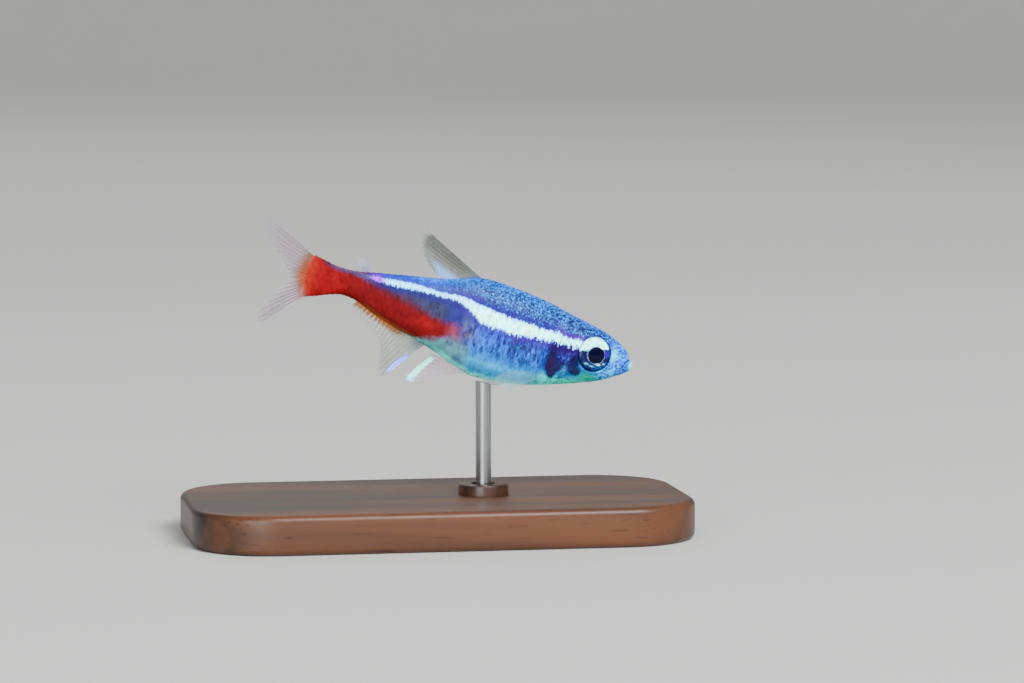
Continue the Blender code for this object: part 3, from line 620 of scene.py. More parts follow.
def head_relief(x, z):
    """How far the head's side stands out for gill cover, orbit and lips, or sinks in its furrows."""
    past = x - gill_edge(z)
    cover = COVER_RISE * soft(past, -1.5, 0) * soft(z, 1.6, 0.8)
    cover = cover * soft(past, 0.6 * GILL_STEP, 0.2 * GILL_STEP)
    orbit = ORBIT_RISE * bump(np.hypot(x - EYE_STATION, z - EYE_HEIGHT) - EYE_RADIUS - 0.08, 0.16)
    relief = cover + orbit + LIP_RISE * bump(distance_to(x, z, mouth_points) - 0.1, 0.11)
    for line, width, depth in FURROWS:
        relief = relief - depth * bump(distance_to(x, z, line), width)
    return relief * soft(x, 7.6, 7.2)


# %% The skin as a sphere of many rings
def outward(shape):
    """Makes the faces of a closed mesh agree and point outwards."""
    bmesh.ops.recalc_face_normals(shape, faces=shape.faces)
    if shape.calc_volume(signed=True) < 0:
        bmesh.ops.reverse_faces(shape, faces=shape.faces)


def turned(profile, steps, closed=False, foot=(0, 0)):
    """A profile of (radius, height) points, spun round an upright axis at the foot as on a lathe."""
    shape = bmesh.new()
    rows = [shape.verts.new((foot[0] + radius, foot[1], height)) for radius, height in profile]
    edges = [shape.edges.new(pair) for pair in zip(rows, rows[1:] + rows[:closed])]
    bmesh.ops.spin(shape, geom=rows + edges, cent=(*foot, 0), axis=(0, 0, 1), angle=2 * math.pi,
                   steps=steps, use_merge=True)
    bmesh.ops.remove_doubles(shape, verts=shape.verts, dist=1e-5)
    return shape


def new_piece(name, shape):
    """An object in the scene that holds the bmesh."""
    mesh = bpy.data.meshes.new(name)
    shape.to_mesh(mesh)
    shape.free()
    piece = bpy.data.objects.new(name, mesh)
    bpy.context.scene.collection.objects.link(piece)
    return piece


def mesh_points(mesh):
    points = np.empty(len(mesh.vertices) * 3)
    mesh.vertices.foreach_get("co", points)
    return points.reshape(-1, 3)


def move_to(mesh, points):
    mesh.vertices.foreach_set("co", points.ravel())


def smooth(mesh, material, sharp):
    """Shades a mesh smooth up to an angle in degrees, and gives it its material."""
    mesh.shade_smooth()
    mesh.set_sharp_from_angle(angle=math.radians(sharp))
    mesh.materials.clear()
    mesh.materials.append(material)


def set_pose(piece, material, sharp=40):
    """Bends a piece made on the straight fish into its pose, and finishes it."""
    mesh = piece.data
    move_to(mesh, posed(mesh_points(mesh)))
    shape = bmesh.new()
    shape.from_mesh(mesh)
    outward(shape)
    shape.to_mesh(mesh)
    shape.free()
    smooth(mesh, material, sharp)


SKIN_AROUND, LOWER_LIP = 168, 0.13
# how far before and behind the gill cover's edge the rings still bend with it
EDGE_PULL = 3.2
ring_stations = np.concatenate([
    0.8 * (np.arange(1, 27) / 26) ** 2, np.arange(0.85, GILL_STATION - 0.03, 0.055),
    [GILL_STATION, GILL_STATION + GILL_STEP], np.arange(GILL_STATION + 0.15, 26.0, 0.13),
    np.linspace(26.0, 26.85, 9)])


def make_skin():
    shape = bmesh.new()
    rings = len(ring_stations) + 1
    bmesh.ops.create_uvsphere(shape, u_segments=SKIN_AROUND, v_segments=rings, radius=1)
    skin = new_piece("skin", shape)
    ball = mesh_points(skin.data)
    ring = np.rint(np.arccos(np.clip(ball[:, 2], -1, 1)) / math.pi * rings).astype(int)
    angle = np.arctan2(ball[:, 1], ball[:, 0])
    station = ring_stations[np.clip(ring - 1, 0, rings - 2)]
    pull = 1 - soft(np.abs(station - GILL_STATION), 0, EDGE_PULL)
    x = station
    for _ in range(6):
        z = body_points(x, angle, -SKIN_DEPTH)[:, 2]
        x = station + pull * (gill_edge(z) - GILL_STATION)
    points = body_points(x, angle, -SKIN_DEPTH)
    side = np.cos(angle)
    points[:, 1] += np.copysign(head_relief(x, points[:, 2]) * np.abs(side), side)
    below_mouth = mouth_edge(x) - points[:, 2]
    lower_lip = soft(points[:, 2], -0.6, -0.2) * soft(below_mouth, 0, 0.2) * soft(x, 0.8, 0.1)
    points[:, 0] += SKIN_DEPTH * soft(x, 1, 0) - LOWER_LIP * lower_lip
    # the tail's end closes to a thin edge between the rays
    points[:, 2] *= 1 - 0.12 * soft(x, 26.3, 26.85)
    points[ring == 0] = (SKIN_DEPTH - LOWER_LIP, 0, 0)
    points[ring == rings] = (26.9, 0, 0.05)
    move_to(skin.data, points)
    return skin


skin = make_skin()
print("skin:", len(skin.data.polygons), "faces")

# %% [markdown]
# ## Mouth, nostrils and eye sockets
#
# These have crisp borders, so they are cut with Booleans while the fish is still straight. The socket
# is hardly larger than the eye, as skin grows right up to it.

# %% Cutting the face
EYE_FORWARD, EYE_UP = math.radians(9), math.radians(6)
SOCKET_DEPTH = 1.1


def eye_turn(side):
    """Turns a disc that faces up so that it looks out of the head's side, a little forwards and up."""
    turn = Matrix.Rotation(side * EYE_FORWARD, 3, "Z") @ Matrix.Rotation(side * EYE_UP, 3, "X")
    return turn @ Matrix.Rotation(-side * math.pi / 2, 3, "X")


def ellipsoid(centre, semi_axes, turn, segments, rings):
    shape = bmesh.new()
    bmesh.ops.create_uvsphere(shape, u_segments=segments, v_segments=rings, radius=1)
    place = Matrix.Translation(centre) @ turn.to_4x4() @ Matrix.Diagonal((*semi_axes, 1))
    bmesh.ops.transform(shape, matrix=place, verts=shape.verts)
    outward(shape)
    return shape


def cut(piece, cutter_shape):
    """Takes a closed shape out of the piece, and applies the cut."""
    outward(cutter_shape)
    cutter = new_piece("cutter", cutter_shape)
    knife = piece.modifiers.new("cut", "BOOLEAN")
    knife.operation, knife.solver, knife.object = "DIFFERENCE", "EXACT", cutter
    bpy.context.view_layer.update()
    seen = piece.evaluated_get(bpy.context.evaluated_depsgraph_get())
    made = bpy.data.meshes.new_from_object(seen)
    piece.modifiers.clear()
    piece.data = made
    bpy.data.objects.remove(cutter)


def mouth_cutter():
    """A thin curved slab along the mouth's line: an outline extruded across the snout."""
    shape = bmesh.new()
    half_gap, half_across = [0.015, 0.07, 0.075, 0.05, 0.012], 1.5
    upper = [(x, z + half) for (x, z), half in zip(MOUTH, half_gap)]
    lower = [(x, z - half) for (x, z), half in zip(MOUTH, half_gap)]
    face = shape.faces.new([shape.verts.new((x, -half_across, z)) for x, z in upper + lower[::-1]])
    pushed = bmesh.ops.extrude_face_region(shape, geom=[face])
    far_end = [part for part in pushed["geom"] if isinstance(part, bmesh.types.BMVert)]
    bmesh.ops.translate(shape, verts=far_end, vec=(0, 2 * half_across, 0))
    return shape


NOSTRILS = [(1.22, 0.84, 0.13), (1.56, 1.0, 0.1)]
for side in (1, -1):
    socket_size = (EYE_RADIUS + 0.03, EYE_RADIUS + 0.03, SOCKET_DEPTH)
    cut(skin, ellipsoid((EYE_STATION, side * EYE_OUT, EYE_HEIGHT), socket_size, eye_turn(side), 96, 40))
    for station, height, radius in NOSTRILS:
        wall = float(body_points(np.array([station]), np.array([0.0]))[0, 1])
        wall *= math.sqrt(1 - (height / float(back(station))) ** 2)
        cut(skin, ellipsoid((station, side * wall, height), (radius,) * 3, Matrix.Identity(3), 20, 12))
cut(skin, mouth_cutter())
write_markings(skin.data, mesh_points(skin.data))
set_pose(skin, wet_skin)
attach(skin, "root")
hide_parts("head", "trunk", "tail")
print("skin after the cuts:", len(skin.data.polygons), "faces")

# %% [markdown]
# ## The scales
#
# A neon tetra has some thirty scales in a row along its side and about a dozen rows. They are clear
# plates, thinner than paper, that overlap like tiles, so all that shows is a faint step at each rim.
# One blank is made from a grid with rounded corners and given its thickness by Solidify. It is then
# laid out row by row, wrapped onto the body by the same section formula as the skin.

# %% One blank scale
SCALE_LENGTH, SCALE_THICKNESS = 1.15, 0.022


def blank_scale():
    """A flat scale: x from its root to its rim, y across, both from -1 to 1 before shaping."""
    shape = bmesh.new()
    bmesh.ops.create_grid(shape, x_segments=5, y_segments=6, size=1)
    for vert in shape.verts:
        along, over = (vert.co.x + 1) / 2, vert.co.y
        rim = 1 - 0.36 * abs(over) ** 2.2
        root = 0.2 * over * over
        vert.co = (root + (rim - root) * along, over * (1 - 0.14 * (2 * along - 0.9) ** 2), 0)
    return shape


blank = blank_scale()
bmesh.ops.solidify(blank, geom=blank.faces[:], thickness=SCALE_THICKNESS)
blank_mesh = bpy.data.meshes.new("blank_scale")
blank.to_mesh(blank_mesh)
blank.free()
blank_points = mesh_points(blank_mesh)
blank_top = blank_points[:, 2].max()
print("a scale has", len(blank_mesh.polygons), "faces; heights", blank_points[:, 2].min(), blank_top)

# %% Where each scale sits
ROW_PITCH = smooth_line([(5, 0.64), (10, 0.72), (15, 0.62), (20, 0.46), (26.5, 0.36)])
ARC_ANGLES = np.radians(np.linspace(-200, 200, 401))
ROWS, FIRST_SCALE, LAST_SCALE, SCALE_STEP, RIDGE_STEP = range(-9, 10), 4.6, 26.1, 0.62, 0.5
dice = random.Random(7)


def arc_table(x):
    """Arc lengths round the section, from the widest place on the left, for the listed angles."""
    ring = body_points(np.full(len(ARC_ANGLES), x), ARC_ANGLES)
    arcs = np.concatenate([[0], np.cumsum(np.hypot(np.diff(ring[:, 1]), np.diff(ring[:, 2])))])
    return arcs - arcs[len(arcs) // 2]


def scale_places():
    """Station, angle and size of each scale of one side, row by row from the belly up."""
    places = []
    for row in ROWS:
        x = FIRST_SCALE + SCALE_STEP / 2 * (row % 2)
        while x < LAST_SCALE:
            arcs, pitch = arc_table(x), float(ROW_PITCH(x))
            top, low = (np.interp(limit, ARC_ANGLES, arcs) for limit in (math.pi / 2, -math.pi / 2))
            arc = row * pitch
            z = body_points(np.array([x]), np.array([np.interp(arc, arcs, ARC_ANGLES)]))[0, 2]
            if low + 0.1 < arc < top - 0.1 and x > float(gill_edge(z)) - 0.35:
                places.append((x, arc, arcs, pitch))
            x += SCALE_STEP - 0.1 * float(soft(x, 14, 24))
    return places


def ridge_places():
    """The scales that close the coat along the back and under the belly."""
    places = []
    for limit in (math.pi / 2, -math.pi / 2):
        x = 5.9 if limit > 0 else 5.2
        while x < LAST_SCALE:
            arcs = arc_table(x)
            places.append((x, np.interp(limit, ARC_ANGLES, arcs), arcs, float(ROW_PITCH(x))))
            x += RIDGE_STEP - 0.08 * float(soft(x, 14, 24))
    return places


# %% Laying the scales onto the skin
ROOT_LIFT, RIM_LIFT = -0.082, -0.006


def lay_scales(name, places, side):
    points, unwrap = [], []
    for x, arc, arcs, pitch in places:
        size = min(pitch / 0.66, 1) * dice.uniform(0.97, 1.03)
        turn = math.radians(dice.uniform(-2.5, 2.5))
        along = blank_points[:, 0] * SCALE_LENGTH * size
        over = blank_points[:, 1] * pitch * 0.96
        station = x + along * math.cos(turn) - over * math.sin(turn)
        angle = np.interp(arc + over * math.cos(turn) + along * math.sin(turn), arcs, ARC_ANGLES)
        rise = ROOT_LIFT + (RIM_LIFT - ROOT_LIFT + dice.uniform(-0.006, 0.006)) * blank_points[:, 0]
        rise = rise - 0.014 * blank_points[:, 1] ** 2 + (blank_points[:, 2] - blank_top)
        placed = body_points(station, angle, rise)
        placed[:, 1] *= side
        points.append(placed)
        middle = side * float(np.interp(arc, arcs, ARC_ANGLES)) / (2 * math.pi)
        # each scale has a small patch of the unwrapped body to itself
        unwrap.append(np.stack([0.5 + middle + 0.0015 * blank_points[:, 1],
                                x / 28 + 0.003 * blank_points[:, 0]], axis=1))
    shape = bmesh.new()
    for _ in places:
        shape.from_mesh(blank_mesh)
    piece = new_piece(name, shape)
    points, unwrap = np.concatenate(points), np.concatenate(unwrap)
    move_to(piece.data, points)
    corners = np.empty(len(piece.data.loops), int)
    piece.data.loops.foreach_get("vertex_index", corners)
    piece.data.uv_layers.new(name="OFBake").data.foreach_set("uv", unwrap[corners].ravel())
    write_markings(piece.data, points)
    set_pose(piece, wet_skin, 60)
    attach(piece, "root")
    print(name, len(places), "scales,", len(piece.data.polygons), "faces")
    return piece


side_places = scale_places()
lay_scales("scales_left", side_places, 1)
lay_scales("scales_right", side_places, -1)
lay_scales("scales_ridges", ridge_places(), 1)

# %% [markdown]
# ## The fins
#
# A fin is a fan of thin rays with a clear membrane between them. Soft rays fork on their way out. Each
# fin here is one closed sheet: a fine grid whose thickness swells where a ray runs, so ray and membrane
# are one skin as they are on the fish. The root and the margin of each fin are the same lines as in the
# solids, and the material makes the membrane clear and the rays milky.

# %% One fin from a grid
MEMBRANE, RAY_ROOT, RAY_TIP = 0.035, 0.15, 0.06
RAY_STEPS, FIN_ROWS = 10, 34
# where the rays fork and how far they stand out of the margin, as shares of their length
FORK, FRINGE = 0.45, 0.045
ROOT_SUNK = 0.45


def fin_sheet(name, rays, root, margin, lay, tone):
    """A fin: tone gives its colour and how solid it looks, from the shares across and along."""
    shape = bmesh.new()
    bmesh.ops.create_grid(shape, x_segments=(rays - 1) * RAY_STEPS, y_segments=FIN_ROWS, size=0.5)
    bmesh.ops.solidify(shape, geom=shape.faces[:], thickness=0.01)
    piece = new_piece(name, shape)
    flat = mesh_points(piece.data)
    u, v = np.clip(flat[:, 0] + 0.5, 0, 1), np.clip(flat[:, 1] + 0.5, 0, 1)
    face = np.where(flat[:, 2] > flat[:, 2].mean(), 1, -1)
    nearest = np.rint(u * (rays - 1))
    off = u * (rays - 1) - nearest
    spread = 0.23 * soft(v, FORK, 1)
    ray = np.maximum(bump(off - spread, 0.12), bump(off + spread, 0.12))
    jitter = random.Random(name)
    reach = np.array([jitter.uniform(0.985, 1.0) for _ in range(rays)])[nearest.astype(int)]
    start, end = root(u), margin(u)
    direction = end - start
    start = start - direction / np.linalg.norm(direction, axis=1)[:, None] * ROOT_SUNK
    share = v * (reach - FRINGE * (1 - ray) * v**2)
    flat_points = start + (end - start) * share[:, None]
    swell = ray * (1 - 0.75 * soft(v, 0.86, 1))
    thick = MEMBRANE + (RAY_ROOT + (RAY_TIP - RAY_ROOT) * v - MEMBRANE) * swell
    ripple = 0.02 * np.sin(u * (rays - 1) * 2 * math.pi) * v + 0.05 * np.sin(u * 5 + v * 3) * v
    flat_points[:, 1] += ripple + face * thick / 2
    points = lay(flat_points, u, v)
    move_to(piece.data, points)
    write(piece.data, ray=ray, reach=v * np.linalg.norm(end - start, axis=1), place=points,
          tone=tone(u, v, points))
    return piece


def tones(base, *layers):
    """Colour and solidity: a base (code, solidity), and layers (code, solidity, share) laid over it."""
    mixed = np.tile(np.append(linear(base[0]), base[1]), (len(layers[0][2]), 1))
    for code, solid, share in layers:
        mixed = mixed + (np.append(linear(code), solid) - mixed) * np.clip(share, 0, 1)[:, None]
    return mixed


# %% [markdown]
# A fin's membrane is so thin that most light goes straight through, which alpha does with one number.
# Rays are bony and milky, and cross lines show their joints, a fifth of a millimetre apart.

# %% Clear membrane with milky rays
JOINT_SPACING = 0.22


def make_fin_membrane():
    material, nodes, surface = new_material("clear_fin_membrane")
    place = add(nodes, "Attribute", attribute_name="place").outputs["Vector"]
    tone, solid = (
        add(nodes, "Attribute", attribute_name="tone").outputs[name] for name in ("Color", "Alpha"))
    ray, reach = (
        add(nodes, "Attribute", attribute_name=name).outputs["Fac"] for name in ("ray", "reach"))
    # rays whiten the membrane, but not where it is already coloured and solid
    clear = add(nodes, "MapRange", (solid, 0.5, 0.8, 0.3, 0.0), **SOFT)
    whiten = add(nodes, "Math", (ray, clear), **TIMES)
    milky = add(nodes, "Mix", (whiten, tone, rgba("#c8d0d8")), **MIXED)
    # the joints of the rays are darker lines across them
    joints = add(nodes, "Math", (reach, 2 * math.pi / JOINT_SPACING), **TIMES)
    joints = add(nodes, "Math", (joints,), 0, operation="SINE")
    joints = add(nodes, "MapRange", (joints, 0.55, 1.0, 1.0, 0.8), 0)
    hidden = add(nodes, "MapRange", (solid, 0.8, 0.95), **SOFT)
    joints = add(nodes, "Math", (joints, hidden), 0, operation="MAXIMUM")
    lined = add(nodes, "VectorMath", {0: milky, "Scale": joints}, **SCALED)
    cloud = add(nodes, "TexNoise", {"Vector": place, "Scale": 2.4, "Detail": 3.0}, 0)
    uneven = add(nodes, "MapRange", (cloud, 0.3, 0.7, 0.8, 1.15), 0)
    alpha = add(nodes, "Math", (solid, uneven), **TIMES)
    alpha = add(nodes, "Math", (ray, 0.28, alpha), use_clamp=True, **TIMES_ADD)
    # painted glow: where the fin is nearly solid, as in the white streaks, it gets a little emission
    # for the light that its mirror crystals send back, as in the body's stripe
    painted_glow_mask = add(nodes, "MapRange", (solid, 0.8, 0.99), **SOFT)
    painted_glow = add(nodes, "VectorMath", {0: tone, "Scale": painted_glow_mask}, **SCALED)
    plug(surface, {"Base Color": lined, "Alpha": alpha, "Emission Color": painted_glow,
                   "Emission Strength": 0.9, "Roughness": 0.32, "IOR": 1.4, "Coat Weight": 0.25})
    return material


fin_membrane = make_fin_membrane()

# %% The fins of the midline
def knots_line(knots):
    """A point on a smooth line through (share, x, z) knots."""
    x_line = smooth_line([(s, x) for s, x, z in knots])
    z_line = smooth_line([(s, z) for s, x, z in knots])
    return lambda u: np.stack([x_line(u), 0 * u, z_line(u)], axis=1)


def along_body(first, last, surface):
    """Ray roots along the back or the belly."""
    def read(u):
        x = first + (last - first) * u
        return np.stack([x, 0 * u, surface(x)], axis=1)
    return read


def swayed(sway):
    """Keeps a fin in the middle plane, swaying to the fish's right towards its tip."""
    def lay(points, u, v):
        points = points.copy()
        points[:, 1] -= sway * v * v
        return points
    return lay


def dorsal_tone(u, v, points):
    return tones(("#5d6456", 0.5), ("#44493e", 0.66, soft(u, 0.5, 0.2) * soft(v, 0, 0.3)),
                 ("#80b4ff", 0.6, soft(u, 0.45, 0.7) * soft(v, 0.9, 0.5)),
                 ("#2a5a98", 0.85, soft(v, 0.14, 0.04)), ("#9a9e96", 0.35, soft(v, 0.88, 1)))


def anal_tone(u, v, points):
    from_body = belly(points[:, 0]) - points[:, 2]
    streak = soft(np.hypot((u - 0.03) / 0.062, (v - 0.68) / 0.27), 1.15, 0.7)
    return tones(("#788070", 0.34), ("#80887a", 0.16, soft(u, 0.3, 0.8) * soft(v, 0.25, 0.65)),
                 ("#5c6c68", 0.4, soft(v, 0.2, 0.05)),
                 ("#4a6070", 0.6, soft(u, 0.25, 0.05) * soft(v, 0.4, 0.1)), ("#6884ff", 0.99, streak),
                 ("#7a4418", 0.92, soft(from_body, 0.62, 0.12) * soft(u, 0.2, 0.4)))


def tail_tone(u, v, points):
    past = points[:, 0] - 26.3 + tail_round(points[:, 2])
    return tones(("#96808e", 0.5), ("#a0929c", 0.36, soft(v, 0.7, 1)),
                 ("#8c4a22", 0.8, soft(past, 2.15, 0.75)), ("#8c2e1c", 0.97, soft(past, 1.2, 0.2)))


def adipose_tone(u, v, points):
    return tones(("#8a86b4", 0.5), ("#a4a8c4", 0.28, soft(v, 0.5, 0.9)))


# each fin's name, rays, root, margin as (share, station, height), sway in mm and tone
midline_fins = [
    ("dorsal_fin", 11, along_body(13.05, 15.9, back), [
        (0, 18.3, 5.78), (0.14, 18.78, 5.5), (0.32, 18.72, 4.85), (0.5, 18.4, 4.25), (0.68, 17.95, 3.7),
        (0.85, 17.35, 3.2), (1, 16.8, 2.86)], 0.5, dorsal_tone),
    ("adipose_fin", 4, along_body(21.5, 22.2, back), [
        (0, 22.2, 2.36), (0.5, 22.7, 2.32), (1, 22.8, 1.95)], 0, adipose_tone),
    ("anal_fin", 18, along_body(15.85, 21.9, belly), [
        (0, 18.15, -5.6), (0.08, 18.65, -5.85), (0.2, 19.0, -5.0), (0.35, 19.15, -4.0),
        (0.5, 19.6, -3.2), (0.68, 20.5, -2.5), (0.85, 21.55, -1.8), (1, 22.4, -1.2)], 0.35, anal_tone),
    ("caudal_fin_upper", 10, knots_line([(0, 26.2, 1.45), (1, 26.3, 0.1)]), [
        (0, 31.2, 3.62), (0.12, 32.15, 3.5), (0.25, 31.9, 2.85), (0.45, 30.75, 1.85), (0.65, 29.6, 1.0),
        (0.85, 28.7, 0.32), (1, 28.3, -0.07)], 0, tail_tone),
    ("caudal_fin_lower", 9, knots_line([(0, 26.2, -1.28), (1, 26.3, 0.1)]), [
        (0, 29.3, -4.12), (0.12, 30.1, -4.25), (0.25, 30.15, -3.6), (0.45, 29.65, -2.6),
        (0.65, 29.05, -1.7), (0.85, 28.5, -0.85), (1, 28.25, -0.04)], 0, tail_tone),
]


def finish_fin(piece):
    set_pose(piece, fin_membrane)
    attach(piece, "root")
    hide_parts(piece.name[5:])
    print(piece.name, len(piece.data.polygons), "faces")


for name, rays, root, margin, sway, tone in midline_fins:
    finish_fin(fin_sheet("fine_" + name, rays, root, knots_line(margin), swayed(sway), tone))

# %% [markdown]
# The paired fins grow from short hinges low on the sides. Their fan is drawn flat and then turned out
# from the body. On this fish, a milky white streak runs along the outer margin of the pelvic fin.

# %% The paired fins
PAIRED_CUP = 0.9


def pelvic_tone(u, v, points):
    inner = 0.83 + 0.1 * soft(u, 0.2, 0) + 0.06 * soft(u, 0.75, 1)
    streak = soft(v - inner, 0, 0.05) * soft(u, 0.97, 0.89) * soft(u, -0.01, 0.04)
    return tones(("#b8a8b4", 0.3), ("#7cc0b4", 0.5, soft(v, 0.3, 0.1)), ("#90f4e8", 0.99, streak),
                 ("#84c8ff", 0.99, streak * soft(u, 0.35, 0)))


def pectoral_tone(u, v, points):
    return tones(("#60b8c4", 0.13), ("#48a8bc", 0.3, soft(u, 0.2, 0)),
                 ("#3098b8", 0.4, soft(v, 0.15, 0.03)))


def paired_fin(name, side, rays, hinge, width, slope, fan, splay, droop, tone):
    reach = smooth_line([(share, length) for share, length, fall in fan])
    below = smooth_line([(share, math.radians(fall)) for share, length, fall in fan])

    def root(u):
        along = width * (u - 0.5)
        return np.stack([along * math.cos(slope), 0 * u, along * math.sin(slope)], axis=1)

    def margin(u):
        return np.stack([reach(u) * np.cos(below(u)), 0 * u, -reach(u) * np.sin(below(u))], axis=1)

    def lay(points, u, v):
        points = points.copy()
        points[:, 1] += PAIRED_CUP * (v * (u - 0.5)) ** 2
        turn = Matrix.Rotation(splay, 3, "Z") @ Matrix.Rotation(droop, 3, "Y")
        turned = points @ np.array(turn).T + np.array(hinge)
        turned[:, 1] *= side
        return turned

    finish_fin(fin_sheet("fine_" + name, rays, root, margin, lay, tone))


# rays, hinge, width and slope of the root, and the fan as (share, length in mm, degrees below level)
PELVIC = [8, (12.35, 0.55, -3.72), 0.7, math.radians(12),
          [(0, 4.8, 23), (0.12, 5.15, 20), (0.4, 4.5, 13), (0.7, 3.75, 2.4), (1, 3.15, -10.5)]]
PECTORAL = [10, (7.15, 1.2, -2.6), 0.6, math.radians(80),
            [(0, 2.8, 31), (0.2, 3.6, 24), (0.45, 3.95, 16), (0.75, 3.7, 9), (1, 3.0, 2)]]
PECTORAL_SPLAY = 28
for word, side, pelvic_splay, pelvic_droop, pectoral_droop in [
        ("left", 1, 46, 3.6, 6), ("right", -1, 13, 0, 0)]:
    pelvic_turn = math.radians(pelvic_splay), math.radians(pelvic_droop)
    pectoral_turn = math.radians(PECTORAL_SPLAY), math.radians(pectoral_droop)
    paired_fin("pelvic_fin_" + word, side, *PELVIC, *pelvic_turn, pelvic_tone)
    paired_fin("pectoral_fin_" + word, side, *PECTORAL, *pectoral_turn, pectoral_tone)

# %% [markdown]
# ## The eyes
#
# A fish has no lids. The lens is a ball that bulges out of the pupil, a bright silvery iris lies round
# it and a wet cornea covers both. One profile spun round its axis makes all of it. The colours are then
# worked out point by point. The pupil sits a little forward of the eye's middle.

# %% Spinning an eye
PUPIL, PUPIL_AHEAD, PUPIL_BELOW = 0.655, 0.08, 0.09
EYE_STEPS, LENS_BULGE = 144, 0.07
# painted highlights: small glints in the lower iris as (centre, reach, share)
PAINTED_GLINTS = [((0.4, -0.76), (0.2, 0.07), 1), ((-0.5, -0.9), (0.14, 0.06), 0.6),
          ((-0.05, -1.0), (0.2, 0.05), 0.45), ((0.87, -0.6), (0.14, 0.07), 0.5)]


def eye_profile():
    """(distance from the axis, height) from the middle of the lens, over the iris, to the back."""
    rows = [(PUPIL * share, 0.43 + LENS_BULGE * math.sqrt(1 - 0.98 * share**2))
            for share in np.linspace(0, 1, 12)]
    rows += [(PUPIL + 0.02, 0.43), (PUPIL + 0.06, 0.44), (PUPIL + 0.11, 0.442)]
    for radius in np.linspace(PUPIL + 0.15, EYE_RADIUS - 0.02, 26):
        rows.append((radius, 0.455 * (1 - (radius / EYE_RADIUS) ** 3.2) ** 0.5))
    rows += [(EYE_RADIUS, -0.08), (1.25, -0.25), (0.9, -0.38), (0.0, -0.46)]
    return rows


def eye_colours(up, ahead, radius, pupil_radius):
    """Black pupil, broken white thread, bright upper and deep blue lower iris; painted glints, painted
    rim shadow, glow share.
    """
    fray, fine = rough(ahead, up, 1 / 5, 3), rough(ahead, up, 1 / 14, 9)
    # the crown's lower edge is level in the pose, in which the fish points nose down
    level = up * math.cos(NOSE_DOWN) - ahead * math.sin(NOSE_DOWN)
    crown = soft(level - 0.13 * fray - 0.1 * fine, 0.24, 0.32) * soft(radius - 0.04 * fine, 1.27, 1.21)
    low_gleam = bump(np.hypot((ahead - 0.1) / 0.9, (up + 1.0) / 0.2), 1)
    low_arc = 0.35 * bump(radius - 1.2, 0.06) * soft(up, -0.15, -0.45) * soft(fray, -0.1, 0.15)
    broken = soft(fine + 0.2 * soft(ahead, -0.2, -0.5), -0.05, 0.15)
    thread = 0.9 * bump(pupil_radius - PUPIL - 0.04, 0.018) * broken * (1 - crown)
    painted_glint = 0 * up
    for centre, reach, share in PAINTED_GLINTS:
        spot = bump(np.hypot((ahead - centre[0]) / reach[0], (up - centre[1]) / reach[1]), 1)
        painted_glint = np.maximum(painted_glint, share * spot * soft(fine, -0.5, -0.2))
    black = soft(pupil_radius, PUPIL + 0.012, PUPIL - 0.008)
    colours = paint(
        "#0f1348",
        ("#130841", soft(np.abs(up + 0.55 + 0.3 * fray), 0.35, 0.15) * soft(ahead, 0.3, -0.1)),
        ("#163159", soft(fray, 0.1, 0.3) * 0.5 * soft(pupil_radius, 0.8, 1)),
        ("#0064bc", low_gleam * (0.2 + 0.4 * soft(ahead, 0, 0.4)) * soft(fine, -0.3, 0)),
        ("#0066b6", low_arc * soft(fine, -0.55, -0.25)),
        ("#2f0090", soft(ahead, 0.62, 0.74) * soft(up, 0.5, 0.42) * soft(up - 0.2 * fray, -0.1, 0)),
        ("#7effff", crown), ("#d0ffd8", crown * soft(fray, 0.05, 0.3) * 0.5),
        ("#5090e0", crown * soft(fray + fine * 0.5, -0.1, -0.4) * 0.7),
        ("#a8b8ff", crown * soft(radius + 0.1 * fine, 1.16, 1.26) * 0.8),
        ("#5878d0", 0.7 * bump(radius - 1.32, 0.035) * soft(up, 0.1, 0.4)),
        ("#480098", bump(radius - 1.31, 0.05) * soft(ahead, -0.6, -1) * soft(up, -0.3, 0)),
        # a painted shadow: a dark crescent along the eye's lower rim, where the orbit shades it
        ("#011427", bump(radius - EYE_RADIUS, 0.07) * soft(up, 0.1, -0.2)),
        ("#a8e8ff", thread), ("#90f4ff", painted_glint), ("#000020", black))
    # the share of painted glow: the crown, half the thread and most of each painted glint get an
    # emission
    bright = crown * (1 - 0.8 * soft(radius + 0.06 * fray, 1.12, 1.22))
    bright = bright * (1 - 0.3 * soft(fray, -0.05, -0.35))
    bright = np.clip(np.maximum(np.maximum(bright, thread * 0.5), painted_glint * 0.8), 0, 1)
    return colours, bright * (1 - black)


def make_eye(word, side, material):
    shape = turned(eye_profile(), EYE_STEPS)
    outward(shape)
    eye = new_piece("fine_eye_" + word, shape)
    disc = mesh_points(eye.data)
    pupil_radius = np.hypot(disc[:, 0], disc[:, 1])
    front = disc[:, 2] > 0
    shift = soft(pupil_radius, 1.25, 0.63) * front
    disc[:, 0] -= PUPIL_AHEAD * shift
    disc[:, 1] += side * PUPIL_BELOW * shift
    ahead, up = -disc[:, 0], -side * disc[:, 1]
    colours, bright = eye_colours(up, ahead, np.hypot(ahead, up), pupil_radius)
    write(eye.data, iris=opaque(colours), place=disc, bright=bright)
    turn_out = np.array(eye_turn(side)).T
    move_to(eye.data, disc @ turn_out + np.array((EYE_STATION, side * EYE_OUT, EYE_HEIGHT)))
    set_pose(eye, material)
    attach(eye, "root")
    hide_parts("eye_" + word)
    print(eye.name, len(eye.data.polygons), "faces")


